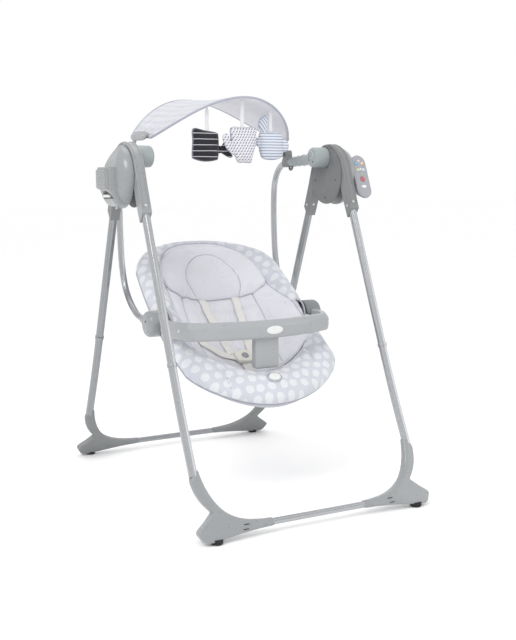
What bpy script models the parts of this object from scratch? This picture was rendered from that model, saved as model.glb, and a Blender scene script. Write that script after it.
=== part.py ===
"""Baby swing: an A-frame on two folding U-shaped tube frames, two drive hubs, hanger arms and a reclining seat.

Metres, +Z up. X runs along the swing axle, the baby's feet point to -Y, and the origin is on the floor under the
middle of the frame. Left is -X. Paired pieces are made by one function with side = -1 or +1.
"""
from math import acos, atan2, cos, pi, radians, sin

import bpy
import bmesh
from mathutils import Matrix, Vector

for old in list(bpy.data.objects):
    bpy.data.objects.remove(old)

GAP = 0.0003                       # between pieces that touch

# Swing axle and hubs
AXLE_Z = 0.866
AXLE_R = 0.008
HUB_Z = 0.816                      # centre of the round housings, and the fold axis of the rear frame
HUB_R = 0.078
FOLD_PIN_R = 0.015
KNOB_R = 0.027
KNOB_IN = 0.233                    # the knob's inner face
PLATE_IN = 0.2795                  # inner plate of the hub
PLATE_OUT = 0.2838
HEAD_IN = 0.2842                   # leg heads, between the plate and the outer shell
HEAD_OUT = 0.3100
SHELL_IN = 0.3104
SHELL_OUT = 0.347
SHELL_WALL = 0.0025
SIDE_REACH = 0.371                 # outermost point of battery box and control pod

# Battery box on the left housing, with a door hinged on its top edge
BOX_LOW, BOX_TOP, BOX_HALF = 0.785, 0.840, 0.039
BOX_WIDE_X = 0.352                 # from here outwards the box's lower part has its full reach
BOX_LEDGE_X = 0.3375               # and its upper part, as a ledge
DOOR_IN, DOOR_HALF = SIDE_REACH - 0.0032, 0.0335
DOOR_RIBS, RIB_DEPTH = 6, 0.0009
CELL_R, CELL_HALF = 0.0131, 0.025   # C cells
LATCH_Z, LATCH_HALF = 0.7625, 0.021
RECESS_HALF, RECESS_RISE = 0.031, 0.0185

# Control pod on the right housing: its own frame is up the pod, across it and out of its face
POD_LENGTH, POD_HALF, POD_DEPTH, PANEL_THICK = 0.116, 0.0225, 0.042, 0.003
POD_LEAN = radians(22.6)
POD_CENTRE = Vector((SIDE_REACH - POD_HALF, -0.075, 0.818))
BUTTONS = (("button_power", 0.000, -0.0130, 0.0072, (0.75, 0.06, 0.05)),
           ("button_melody", -0.0095, 0.0330, 0.0048, (0.15, 0.50, 0.75)),
           ("button_nature", 0.0090, 0.0335, 0.0048, (0.90, 0.55, 0.22)),
           ("button_volume", -0.0075, 0.0140, 0.0048, (0.72, 0.75, 0.20)),
           ("button_timer", 0.0090, 0.0145, 0.0048, (0.62, 0.78, 0.88)))
COIL_Z = 0.795

# Legs and feet
LEG_X = 0.2965
LEG_A = 0.0105                     # tube half width along the leg's plane
LEG_B = 0.0105
SOCKET_Z = 0.742                   # a leg tube's upper end
HEAD_TIP_FRONT, HEAD_TIP_BACK = 0.7240, 0.7090   # where the leg heads end, outside and inside the A
CORNER_Z = 0.150
KNEE_Y, KNEE_Z = 0.2545, 0.378
LEG_SLOPE = 0.416
LEG_CURVE = 0.20
BASE_Z = 0.0245
BASE_R = 0.0078                     # the base tube is thinner than the legs
BASE_END = 0.125
PAD_X, PAD_Y, PAD_R, PAD_H = 0.2736, 0.437, 0.0150, 0.0125
FOOT_HALF = 0.0125                 # half thickness of the corner moulding

# Hanger arms and seat pivot
ARM_X = 0.240
ARM_R = 0.0085
ARM_ROUTE = ((0.1565, 0.853), (0.178, 0.846), (0.204, 0.823), (0.2195, 0.785), (0.2235, 0.725), (0.2215, 0.645),
             (0.2145, 0.580), (0.196, 0.525), (0.162, 0.485), (0.118, 0.458), (0.078, 0.448), (0.0455, 0.4445))
CANOPY_AXIS = (0.140, 0.8815)      # Y, Z of the toy bar's hinge
SEAT_PIVOT = (0.010, 0.440)        # Y, Z of the recline axis
PIVOT_X = 0.230
PIVOT_R = 0.034

# Seat, in its own frame: s up the backrest from the pivot, n out of the seat
SEAT_TILT = radians(37.3)
SEAT_HEAD, SEAT_FOOT = 0.323, 0.313
SEAT_STRAIGHT = 0.130              # the sides run straight this far up and down from the pivot
SEAT_HALF = 0.2245
RIM_TOP, RIM_LOW = 0.026, -0.012
FRAME_N = -0.0225                  # the seat frame tube runs under the pad's rim
FRAME_TUBE_R = 0.0085
BOSS_IN, BOSS_R = 0.1805, 0.0125   # the seat frame's boss on the recline axis
PILLOW_HALF, PILLOW_S, PILLOW_RISE = 0.150, 0.194, 0.094
STRAP_TOP, STRAP_HALF, STRAP_THICK = 0.096, 0.011, 0.0025
BUCKLE_S, BUCKLE_R = -0.105, 0.0096
STUD_S = -0.252

# Play tray: the rail turns back to the pivots beyond TRAY_BEND of its half length
TRAY_Z, TRAY_HALF, TRAY_FRONT, TRAY_BEND = 0.432, 0.196, -0.178, 0.72
POST_HALF, POST_LOW = 0.034, 0.331

# Toy bar canopy: end point and rise of its front and back edges
CANOPY_FRONT = dict(x=0.2093, y=0.0986, z=0.9111, dy=-0.1699, py=1.43, dz=0.1033, pz=2.06)
CANOPY_BACK = dict(x=0.2183, y=0.1659, z=0.9266, dy=0.1342, py=1.53, dz=0.1071, pz=2.36)
CANOPY_START = radians(29)
CANOPY_THICK, CANOPY_CROWN = 0.004, 0.004

# Toys: name, X of the ribbon, Z of the ribbon's lower end
TOYS = (("toy_block", -0.091, 0.933), ("toy_elephant", -0.001, 0.939), ("toy_fish", 0.094, 0.931))
TOY_HALF, LIMB_HALF = 0.014, 0.0075
LIMB_OFFSET = {"toy_block": 0.005, "toy_elephant": -0.004, "toy_fish": 0.0}   # limbs keep clear of the next toy

PLASTIC = ((0.50, 0.53, 0.54), 0.42, 0.0)
PLASTIC_DARK = ((0.36, 0.38, 0.385), 0.45, 0.0)
METAL = ((0.70, 0.71, 0.72), 0.28, 1.0)
STEEL = ((0.55, 0.56, 0.58), 0.35, 1.0)
RUBBER = ((0.02, 0.02, 0.022), 0.75, 0.0)
FABRIC = ((0.70, 0.71, 0.78), 0.9, 0.0)
PRINT = ((0.74, 0.75, 0.80), 0.9, 0.0)
WEBBING = ((0.82, 0.81, 0.76), 0.85, 0.0)


# ---------------------------------------------------------------- helpers

def material(name, look):
    made = bpy.data.materials.new(name)
    made.use_nodes = True
    shader = made.node_tree.nodes["Principled BSDF"]
    shader.inputs["Base Color"].default_value = (*look[0], 1.0)
    shader.inputs["Roughness"].default_value = look[1]
    shader.inputs["Metallic"].default_value = look[2]
    return made


def add(name, bm, look, smooth=40):
    """A named object from a bmesh, with a material of its own and outward faces."""
    bmesh.ops.remove_doubles(bm, verts=bm.verts, dist=1e-6)
    bmesh.ops.recalc_face_normals(bm, faces=bm.faces)
    if bm.calc_volume(signed=True) < 0:
        bmesh.ops.reverse_faces(bm, faces=bm.faces)
    mesh = bpy.data.meshes.new(name)
    bm.to_mesh(mesh)
    bm.free()
    mesh.shade_smooth()
    mesh.set_sharp_from_angle(angle=radians(smooth))
    obj = bpy.data.objects.new(name, mesh)
    bpy.context.scene.collection.objects.link(obj)
    if look:
        mesh.materials.append(material(name, look))
    return obj


def tool(name, bm):
    """A cutter or filler for a Boolean, which isn't a piece of the swing."""
    obj = add(name, bm, None)
    obj.hide_render = True
    obj.display_type = "WIRE"
    return obj


def boolean(obj, other, operation="DIFFERENCE"):
    step = obj.modifiers.new(operation.title(), "BOOLEAN")
    step.operation = operation
    step.object = other


def axis(name, place):
    """An empty on a joint's axis, which carries the pieces that turn about it."""
    empty = bpy.data.objects.new(name, None)
    empty.location = place
    bpy.context.scene.collection.objects.link(empty)
    return empty


def carry(empty, *pieces):
    for piece in pieces:
        piece.parent = empty
        piece.matrix_parent_inverse = Matrix.Translation(-empty.location)


def loft(rings, closed=False):
    """A closed skin over rings of equal point count, with flat ends unless the rings close on themselves."""
    bm = bmesh.new()
    made = [[bm.verts.new(p) for p in ring] for ring in rings]
    count = len(made[0])
    pairs = list(zip(made, made[1:])) + ([(made[-1], made[0])] if closed else [])
    for low, high in pairs:
        for i in range(count):
            j = (i + 1) % count
            bm.faces.new((low[i], low[j], high[j], high[i]))
    if not closed:
        bm.faces.new(made[0])
        bm.faces.new(made[-1])
    return bm


def prism(outline, low, high, along="X"):
    """An outline of two coordinates pushed along the third axis."""
    place = {"X": lambda a, b, c: (c, a, b), "Y": lambda a, b, c: (a, c, b), "Z": lambda a, b, c: (a, b, c)}[along]
    return loft([[Vector(place(a, b, c)) for a, b in outline] for c in (low, high)])


def turned(profile, centre=(0.0, 0.0), steps=28, side=1):
    """A profile of (x, radius) points turned about an X axis through centre = (y, z)."""
    rings = []
    for x, r in profile:
        rings.append([Vector((side * x, centre[0] + r * cos(a), centre[1] + r * sin(a)))
                      for a in (2 * pi * i / steps for i in range(steps))])
    return loft(rings)


def box(low, high):
    x, y, z = low
    return prism([(x, y), (high[0], y), (high[0], high[1]), (x, high[1])], z, high[2], "Z")


def arc(centre, radius, start, end, steps):
    """Points on an arc, with angles in degrees from the first axis."""
    angles = (radians(start + (end - start) * i / steps) for i in range(steps + 1))
    return [(centre[0] + radius * cos(a), centre[1] + radius * sin(a)) for a in angles]


def rounded(low, high, radius, steps=3):
    """A rectangle's outline with round corners."""
    corners = ((high[0] - radius, high[1] - radius, 0), (low[0] + radius, high[1] - radius, 90),
               (low[0] + radius, low[1] + radius, 180), (high[0] - radius, low[1] + radius, 270))
    return [p for a, b, turn in corners for p in arc((a, b), radius, turn, turn + 90, steps)]


def smooth_route(points, per_span=2):
    """A smooth curve through the given points."""
    ends = [points[0] * 2 - points[1], *points, points[-1] * 2 - points[-2]]
    route = []
    for a, b, c, d in zip(ends, ends[1:], ends[2:], ends[3:]):
        for i in range(per_span):
            t = i / per_span
            route.append(0.5 * (2 * b + (c - a) * t + (2 * a - 5 * b + 4 * c - d) * t * t
                                + (3 * b - a - 3 * c + d) * t ** 3))
    return route + [points[-1]]


def tube(route, width, height, up=Vector((1, 0, 0)), steps=12, closed=False):
    """An oval tube along a route. Width lies across up, and height along it; either may be a list."""
    widths = width if isinstance(width, (list, tuple)) else [width] * len(route)
    heights = height if isinstance(height, (list, tuple)) else [height] * len(route)
    rings = []
    last = len(route) - 1
    for i, place in enumerate(route):
        before = route[i - 1] if i or closed else route[i]
        after = route[(i + 1) % len(route)] if i < last or closed else route[i]
        along = (after - before).normalized()
        side = along.cross(up).normalized()
        top = side.cross(along)
        rings.append([place + side * widths[i] * cos(a) + top * heights[i] * sin(a)
                      for a in (2 * pi * k / steps for k in range(steps))])
    return loft(rings, closed)


# ---------------------------------------------------------------- frames

def leg_y(z):
    """How far a leg stands from the middle at height z."""
    drop = KNEE_Z - z
    return KNEE_Y + LEG_SLOPE * drop + (LEG_CURVE * drop * drop if drop > 0 else 0.0)


def corner_outline(side):
    """The foot moulding's outline as (x, z), from the leg's inner edge round the foot to the base tube."""
    inner_leg, outer_leg = LEG_X - 0.0125, LEG_X + 0.0120
    top = [(inner_leg, CORNER_Z + 0.002), (outer_leg, CORNER_Z - 0.014)]
    back = [(outer_leg, 0.126), (outer_leg - 0.0065, 0.1025), (outer_leg - 0.0190, 0.0815), (0.2715, 0.0610)]
    foot = [(0.3130, 0.0330), (0.3165, 0.0290), (0.3150, 0.0225), (0.3065, 0.0100), (0.2990, 0.0055),
            (0.2680, 0.0070), (0.2150, 0.0120), (0.1700, 0.0152), (BASE_END, 0.0165)]
    hollow = [(BASE_END, 0.0335), (0.1500, 0.0340), (0.1870, 0.0385), (0.2190, 0.0485), (0.2440, 0.0640),
              (0.2620, 0.0860), (0.2730, 0.1090), (0.2795, 0.1300)]
    return [(side * x, z) for x, z in top + back + foot + hollow]


def frame_pieces(word, front):
    """One U-frame: two legs, two foot mouldings, the base tube and two rubber pads."""
    made = []
    for side, hand in ((-1, "left"), (1, "right")):
        heights = [SOCKET_Z - (SOCKET_Z - KNEE_Z) * i / 3 for i in range(4)]
        heights += [KNEE_Z - (KNEE_Z - CORNER_Z - GAP) * i / 6 for i in range(1, 7)]
        route = [Vector((side * LEG_X, front * leg_y(z), z)) for z in heights]
        across = Vector((1, 0, 0))
        made.append(add(f"{word}_leg_{hand}", tube(route, LEG_A, LEG_B, across, 14), METAL))

        rings = []
        for offset in (-FOOT_HALF, FOOT_HALF):
            ring = []
            for x, z in corner_outline(side):
                slope = (leg_y(z - 0.001) - leg_y(z + 0.001)) / 0.002
                lean = atan2(slope, 1.0)
                ring.append(Vector((x, front * (leg_y(z) + offset * cos(lean)), z + offset * sin(lean) * 0.35)))
            rings.append(ring)
        corner = add(f"{word}_foot_{hand}", loft(rings), PLASTIC)
        # The leg stands in a shallow socket, and so does the base tube
        end = [Vector((side * LEG_X, front * leg_y(z), z)) for z in (0.185, CORNER_Z - 0.0002 - GAP)]
        boolean(corner, tool(f"socket_{word}_{hand}", tube(end, LEG_A + GAP, LEG_B + GAP, across, 14)))
        pad = turned([(0, PAD_R * 0.80), (0.003, PAD_R), (PAD_H, PAD_R)], steps=16)
        pad.transform(Matrix.Translation((side * PAD_X, front * PAD_Y, 0)) @ Matrix.Rotation(-pi / 2, 4, "Y"))
        pad_piece = add(f"{word}_pad_{hand}", pad, RUBBER)
        hole = turned([(-0.01, PAD_R + GAP), (PAD_H + GAP, PAD_R + GAP)], steps=16)
        hole.transform(Matrix.Translation((side * PAD_X, front * PAD_Y, 0)) @ Matrix.Rotation(-pi / 2, 4, "Y"))
        boolean(corner, tool(f"pad_hole_{word}_{hand}", hole))
        made += [corner, pad_piece]
    base = [Vector((x, front * leg_y(BASE_Z), BASE_Z)) for x in (-BASE_END + GAP, 0.0, BASE_END - GAP)]
    made.append(add(f"{word}_base_tube", tube(base, BASE_R, BASE_R, Vector((0, 0, 1)), 14), METAL))
    return made


def leg_head(word, side, front):
    """The moulding that holds a leg to the hub: a band round the housing, an arm with a socket, and an eye."""
    lean = radians(22.6)

    def on_leg(z, off):
        return (front * (leg_y(z) + off * cos(lean)), z + off * sin(lean))

    band_in, band_out = 0.0665, 0.0850
    start, end = 91.0, 181.0
    outer = [(front * -y, z) for y, z in arc((0, HUB_Z), band_out, start, 164, 9)]
    outer = [(front * abs(y), z) for y, z in outer]
    inner = [(front * abs(y), z) for y, z in arc((0, HUB_Z), band_in, end, start, 9)]
    arm = [on_leg(0.780, 0.0150), on_leg(HEAD_TIP_FRONT, 0.0138), on_leg(HEAD_TIP_BACK, -0.0138),
           on_leg(0.775, -0.0150)]
    body = add(f"{word}_head_{'left' if side < 0 else 'right'}",
               prism(outer + arm + inner, side * HEAD_IN, side * HEAD_OUT), PLASTIC)
    # The eye round the fold pin, in the inner or outer half of the gap so that the two heads pass each other
    middle = (HEAD_IN + HEAD_OUT) / 2
    low, high = (HEAD_IN + GAP, middle - GAP) if front < 0 else (middle + GAP, HEAD_OUT - GAP)
    turn = 1 if front > 0 else -1
    spoke = [(turn * abs(y), z) for y, z in arc((0, HUB_Z), 0.074, -25, 35, 5)]
    spoke += [(0.0, HUB_Z + 0.024), (0.0, HUB_Z - 0.024)]
    eye = tool(f"{word}_eye_{side}", prism(spoke, side * low, side * high))
    boolean(body, eye, "UNION")
    disc = tool(f"{word}_disc_{side}", turned([(low + GAP / 2, 0.0275), (high - GAP / 2, 0.0275)], (0, HUB_Z), 24, side))
    boolean(body, disc, "UNION")
    pin = turned([(0.27, FOLD_PIN_R + 0.0004), (0.32, FOLD_PIN_R + 0.0004)], (0, HUB_Z), 24, side)
    boolean(body, tool(f"{word}_bore_{side}", pin))
    end_route = [Vector((side * LEG_X, front * leg_y(z), z)) for z in (SOCKET_Z + GAP, 0.66)]
    socket = tube(end_route, LEG_A + GAP, LEG_B + GAP, Vector((1, 0, 0)), 14)
    boolean(body, tool(f"{word}_socket_{side}", socket))
    return body


# ---------------------------------------------------------------- hubs

def dome_profile(wall):
    """Half section of the round housing, from its open inner edge to the middle of its outer face."""
    rim, depth = HUB_R - wall, SHELL_OUT - wall
    start = SHELL_IN - (0.004 if wall else 0.0)
    return [(start, rim), (depth - 0.016, rim), (depth - 0.0065, rim - 0.0055), (depth - 0.002, rim - 0.017),
            (depth, rim - 0.036)]


def battery_box_outline(wall):
    """The battery box seen from the front, as (x, z)."""
    reach = SIDE_REACH - 0.0035 - wall
    return [(0.3115, 0.872 - wall), (0.3220, 0.868 - 2.2 * wall), (BOX_LEDGE_X, BOX_TOP - wall),
            (reach, BOX_TOP - wall), (reach, BOX_LOW + wall), (BOX_WIDE_X, 0.758 + wall), (0.333, 0.742 + wall),
            (0.3115, 0.742 + wall)]


def pod_place(across=0.0, along=0.0):
    """The control pod's own frame, moved to a point of its face."""
    up = Vector((0, sin(POD_LEAN), cos(POD_LEAN)))
    out = Vector((0, -cos(POD_LEAN), sin(POD_LEAN)))
    turn = Matrix((Vector((1, 0, 0)), up, out)).transposed().to_4x4()
    return Matrix.Translation(POD_CENTRE) @ turn @ Matrix.Translation((across, along, 0))


def pod_block(length, half, low, high):
    """A block with round ends along the control pod."""
    outline = arc((0, length / 2 - half), half, 0, 180, 6) + arc((0, -length / 2 + half), half, 180, 360, 6)
    block = prism(outline, low, high, "Z")
    block.transform(pod_place())
    return block


def upright(profile, place, steps):
    """A profile of (height, radius) points turned about the Z axis of a frame."""
    made = turned(profile, steps=steps)
    made.transform(place @ Matrix.Rotation(-pi / 2, 4, "Y"))
    return made


def hub(side, hand):
    plate = add(f"hub_plate_{hand}", turned([(PLATE_IN, HUB_R - 0.003), (PLATE_IN + 0.002, HUB_R - 0.001),
                                            (PLATE_OUT, HUB_R - 0.001)], (0, HUB_Z), 36, side), PLASTIC_DARK)
    pin = turned([(PLATE_OUT - 0.002, FOLD_PIN_R), (HEAD_OUT, FOLD_PIN_R)], (0, HUB_Z), 24, side)
    boolean(plate, tool(f"fold_pin_{hand}", pin), "UNION")
    sleeve = turned([(PLATE_OUT - 0.002, 0.0145), (HEAD_OUT - 0.006, 0.0145)], (0, AXLE_Z), 24, side)
    boolean(plate, tool(f"sleeve_{hand}", sleeve), "UNION")
    hole = turned([(PLATE_IN - 0.01, 0.0120), (HEAD_OUT, 0.0120)], (0, AXLE_Z), 24, side)
    boolean(plate, tool(f"sleeve_hole_{hand}", hole))

    bearing = add(f"axle_bearing_{hand}", turned([(PLATE_IN + 0.001, 0.0117), (HEAD_OUT - 0.007, 0.0117)],
                                                 (0, AXLE_Z), 24, side), WEBBING)
    bore = turned([(0.27, AXLE_R + 0.0003), (0.32, AXLE_R + 0.0003)], (0, AXLE_Z), 24, side)
    boolean(bearing, tool(f"bearing_bore_{hand}", bore))

    shell = add(f"hub_shell_{hand}", turned(dome_profile(0), (0, HUB_Z), 36, side), PLASTIC)
    hollow = turned(dome_profile(SHELL_WALL), (0, HUB_Z), 36, side)
    if side < 0:
        outer = [(side * x, z) for x, z in battery_box_outline(0)]
        inner = [(side * x, z) for x, z in battery_box_outline(SHELL_WALL)]
        depth = BOX_HALF - SHELL_WALL
        boolean(shell, tool("box_outside", prism(outer, -BOX_HALF, BOX_HALF, "Y")), "UNION")
        boolean(shell, tool("box_hollow", prism(inner, -depth, depth, "Y")))
        door = box((-SIDE_REACH - 0.01, -DOOR_HALF - 2 * GAP, BOX_LOW + 0.004),
                   (-SIDE_REACH + 0.012, DOOR_HALF + 2 * GAP, BOX_TOP - 0.006))
        boolean(shell, tool("door_opening", door))
        arch = [(RECESS_HALF * a, LATCH_Z + RECESS_RISE * b) for a, b in arc((0, 0), 1.0, 0, 180, 10)]
        grip = prism(arch, -SIDE_REACH, -BOX_WIDE_X + 0.008)
        boolean(shell, tool("latch_recess", grip))
    else:
        boolean(shell, tool("pod_outside", pod_block(POD_LENGTH, POD_HALF, -POD_DEPTH, -PANEL_THICK)), "UNION")
        boolean(shell, tool("pod_front", pod_block(POD_LENGTH + 2 * GAP, POD_HALF + GAP, -PANEL_THICK, 0.03)))
        boolean(shell, tool("pod_hollow", pod_block(POD_LENGTH - 2 * SHELL_WALL, POD_HALF - SHELL_WALL,
                                                   -POD_DEPTH + SHELL_WALL, 0.01)))
    boolean(shell, tool(f"shell_hollow_{hand}", hollow))
    return plate, bearing, shell


def battery_side():
    """Two round cells one above the other, a ribbed door and a finger latch."""
    for name, x, z in (("battery_upper", -0.3538, 0.8236), ("battery_lower", -0.3338, 0.8010)):
        cell = turned([(-CELL_HALF, CELL_R), (0.023, CELL_R), (0.0232, 0.004), (CELL_HALF, 0.004)], steps=16)
        cell.transform(Matrix.Translation((x, 0, z)) @ Matrix.Rotation(pi / 2, 4, "Z"))
        add(name, cell, ((0.10, 0.12, 0.16), 0.35, 0.3))
    low, high = BOX_LOW + 0.0045, BOX_TOP - 0.0066
    ribs = [(-DOOR_IN, high), (-DOOR_IN, low)]
    pitch = (high - low) / DOOR_RIBS
    for i in range(DOOR_RIBS):
        z = low + i * pitch
        ribs += [(-SIDE_REACH + RIB_DEPTH, z), (-SIDE_REACH + RIB_DEPTH, z + 0.22 * pitch),
                 (-SIDE_REACH, z + 0.40 * pitch), (-SIDE_REACH, z + 0.82 * pitch)]
    ribs.append((-SIDE_REACH + RIB_DEPTH, high))
    door = add("battery_door", prism(ribs, -DOOR_HALF, DOOR_HALF, "Y"), PLASTIC)
    carry(axis("door_axis", Vector((-DOOR_IN, 0, high))), door)
    latch = prism(rounded((-LATCH_HALF, LATCH_Z + 0.002), (LATCH_HALF, LATCH_Z + 0.010), 0.002), -0.3565, -0.3465)
    add("battery_latch", latch, ((0.80, 0.81, 0.80), 0.3, 0.0))


def control_side():
    """The face plate with its buttons, the board and speaker behind it, and the drive coil in the housing."""
    face = add("control_panel", pod_block(POD_LENGTH, POD_HALF, -PANEL_THICK + GAP, 0.0), PLASTIC)
    for name, across, along, radius, colour in BUTTONS:
        place = pod_place(across, along)
        add(name, upright([(-0.0045, radius), (0.0006, radius), (0.0014, radius * 0.72)], place, 14),
            (colour, 0.35, 0.0))
        hole = upright([(-0.01, radius + GAP), (0.01, radius + GAP)], place, 14)
        boolean(face, tool(f"hole_{name}", hole))
    board = pod_block(POD_LENGTH - 0.016, POD_HALF - 0.0055, -0.0135, -0.0115)
    add("circuit_board", board, ((0.03, 0.22, 0.10), 0.5, 0.0))
    cone = upright([(-0.0260, 0.0100), (-0.0180, 0.0145), (-0.0145, 0.0145)], pod_place(0, -0.036), 18)
    add("speaker", cone, ((0.05, 0.05, 0.05), 0.5, 0.0))
    coil = add("drive_coil", turned([(0.3315, 0.0165), (0.3420, 0.0165)], (0, COIL_Z), 20),
               ((0.60, 0.28, 0.10), 0.4, 0.8))
    boolean(coil, tool("coil_eye", turned([(0.32, 0.0070), (0.35, 0.0070)], (0, COIL_Z), 20)))


# ---------------------------------------------------------------- swinging arms

def swing_hub(side, hand):
    """Knob and axle in one turned piece, with the stub that carries the hanger arm."""
    profile = [(KNOB_IN, KNOB_R - 0.006), (KNOB_IN + 0.002, KNOB_R - 0.0025), (KNOB_IN + 0.006, KNOB_R),
               (PLATE_IN - 0.0006, KNOB_R), (PLATE_IN - 0.0006, AXLE_R), (0.3262, AXLE_R)]
    knob = add(f"swing_knob_{hand}", turned(profile, (0, AXLE_Z), 24, side), PLASTIC)
    route = [Vector((side * (ARM_X + 0.006), 0.004, 0.862)), Vector((side * (ARM_X + 0.004), 0.05, 0.860)),
             Vector((side * ARM_X, 0.095, 0.857)), Vector((side * ARM_X, 0.1205, 0.8555))]
    stub = tool(f"stub_{hand}", tube(route, [0.0150, 0.0140, 0.0120, 0.0115], [0.0150, 0.0140, 0.0120, 0.0115]))
    boolean(knob, stub, "UNION")
    return knob


def clamp(side, hand):
    """The block where the hanger tube meets the stub, with the ear that the toy bar turns on."""
    outline = [(0.1220, 0.8415), (0.1560, 0.8400), (0.1575, 0.8660), (0.1500, 0.8680), (0.1500, 0.8860),
               (0.1460, 0.8905), (0.1340, 0.8905), (0.1300, 0.8860), (0.1300, 0.8700), (0.1220, 0.8700)]
    block = add(f"arm_clamp_{hand}", prism(outline, side * (ARM_X - 0.0145), side * (ARM_X + 0.0145)), PLASTIC_DARK)
    end = [Vector((side * ARM_X, y, z)) for y, z in ((0.1380, 0.8560), ARM_ROUTE[0], (0.18, 0.8455))]
    boolean(block, tool(f"clamp_hole_{hand}", tube(end, ARM_R + GAP, ARM_R + GAP)))
    return block


def arm(side, hand):
    points = [Vector((side * ARM_X, 0.1385, 0.8560))] + [Vector((side * ARM_X, y, z)) for y, z in ARM_ROUTE]
    return add(f"hanger_arm_{hand}", tube(smooth_route(points), ARM_R, ARM_R), METAL)


def pivot_cover(side, hand):
    """The cup at the seat pivot, open towards the seat, with the tube's socket at its back."""
    profile = [(PIVOT_X - 0.021, PIVOT_R), (PIVOT_X + 0.016, PIVOT_R), (PIVOT_X + 0.024, PIVOT_R - 0.004),
               (PIVOT_X + 0.028, PIVOT_R - 0.014)]
    cover = add(f"pivot_cover_{hand}", turned(profile, SEAT_PIVOT, 28, side), PLASTIC)
    neck = [Vector((side * ARM_X, y, 0.4438)) for y in (0.030, 0.058)]
    boolean(cover, tool(f"neck_{hand}", tube(neck, 0.0125, 0.0125)), "UNION")
    cup = turned([(PIVOT_X - 0.03, PIVOT_R - 0.004), (PIVOT_X + 0.004, PIVOT_R - 0.004)], SEAT_PIVOT, 28, side)
    boolean(cover, tool(f"cup_{hand}", cup))
    route = smooth_route([Vector((side * ARM_X, y, z)) for y, z in ARM_ROUTE[-3:]])
    route[-1] = route[-1] + Vector((0, -GAP, 0))
    boolean(cover, tool(f"neck_hole_{hand}", tube(route, ARM_R + GAP, ARM_R + GAP)))
    return cover


def magnet_arm():
    """The pendulum inside the right housing: fixed to the axle, with the magnet that the coil pushes."""
    lever = prism([(-0.007, AXLE_Z + 0.012), (-0.012, AXLE_Z), (-0.006, 0.812), (-0.013, 0.806), (-0.013, 0.782),
                   (0.013, 0.782), (0.013, 0.806), (0.006, 0.812), (0.012, AXLE_Z), (0.007, AXLE_Z + 0.012)],
                  0.3210, 0.3290)
    made = add("magnet_arm", lever, STEEL)
    bore = turned([(0.30, AXLE_R + GAP), (0.34, AXLE_R + GAP)], (0, AXLE_Z), 24)
    boolean(made, tool("magnet_bore", bore))
    return made


# ---------------------------------------------------------------- seat

def seat_point(x, s, n):
    """From the seat's own frame to the world at rest."""
    return Vector((x, SEAT_PIVOT[0] + s * cos(SEAT_TILT) - n * sin(SEAT_TILT),
                   SEAT_PIVOT[1] + s * sin(SEAT_TILT) + n * cos(SEAT_TILT)))


def seat_rim(angle):
    """The seat's outline at an angle as (x, s): straight sides between a blunt head end and a rounder foot end."""
    c, k = cos(angle), sin(angle)
    power = 2.0 / (2.4 if k > 0 else 1.85)
    end = SEAT_HEAD if k > 0 else SEAT_FOOT
    x = SEAT_HALF * abs(c) ** power * (1 if c >= 0 else -1)
    s = (end - SEAT_STRAIGHT) * abs(k) ** power + SEAT_STRAIGHT * min(1.0, abs(k) / 0.35)
    return x, s * (1 if k >= 0 else -1)


def seat_depth(x, s):
    """How deep the pad's upper face lies below the rim at a point: a trough for the body that ends at the crotch."""
    across = max(0.0, 1.0 - (abs(x) / 0.180) ** 2.8)
    crotch = -0.190 + 0.105 * (abs(x) / 0.2) ** 2
    rise = 1.0 / (1.0 + 2.718 ** (-(s - crotch) / 0.0115))
    back = 0.080 - 0.020 * min(1.0, max(0.0, (s + 0.09) / 0.20)) - 0.034 * min(1.0, max(0.0, (s - 0.08) / 0.19))
    return across * (rise * back - (1 - rise) * 0.003)


def foot_rise(s):
    """The underside of the seat comes up towards the foot end."""
    return 0.008 * min(1.0, max(0.0, (-s - 0.12) / 0.14))


def seat_pad():
    """The padded cover: an upper face with the trough, a lower face that follows it, and a rounded rim."""
    steps, top, low = 40, [], []
    for share in (1.0, 0.93, 0.85, 0.72, 0.57, 0.42, 0.26, 0.10):
        upper, under = [], []
        for i in range(steps):
            x, s = (value * share for value in seat_rim(2 * pi * i / steps))
            edge = min(1.0, (1.0 - share) / 0.15) ** 0.5
            lift = RIM_TOP * edge if share > 0.86 else RIM_TOP
            upper.append(seat_point(x, s, lift - seat_depth(x, s)))
            sink = seat_depth(x, s) if share < 0.86 else 0.0
            under.append(seat_point(x * (0.995 if share > 0.99 else 1), s,
                                    RIM_LOW + foot_rise(s) - max(0.0, sink - 0.018)))
        top.append(upper)
        low.append(under)
    pad = add("seat_pad", loft(low[::-1] + top), PRINT, 60)
    for side in (-1, 1):
        notch = turned([(0.1960, PIVOT_R + 0.0025), (0.26, PIVOT_R + 0.0025)], SEAT_PIVOT, 24, side)
        boolean(pad, tool(f"pad_notch_{side}", notch))
        hole = turned([(BOSS_IN - 0.001, BOSS_R + 0.0015), (0.20, BOSS_R + 0.0015)], SEAT_PIVOT, 24, side)
        boolean(pad, tool(f"pad_hole_{side}", hole))
    return pad


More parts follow.
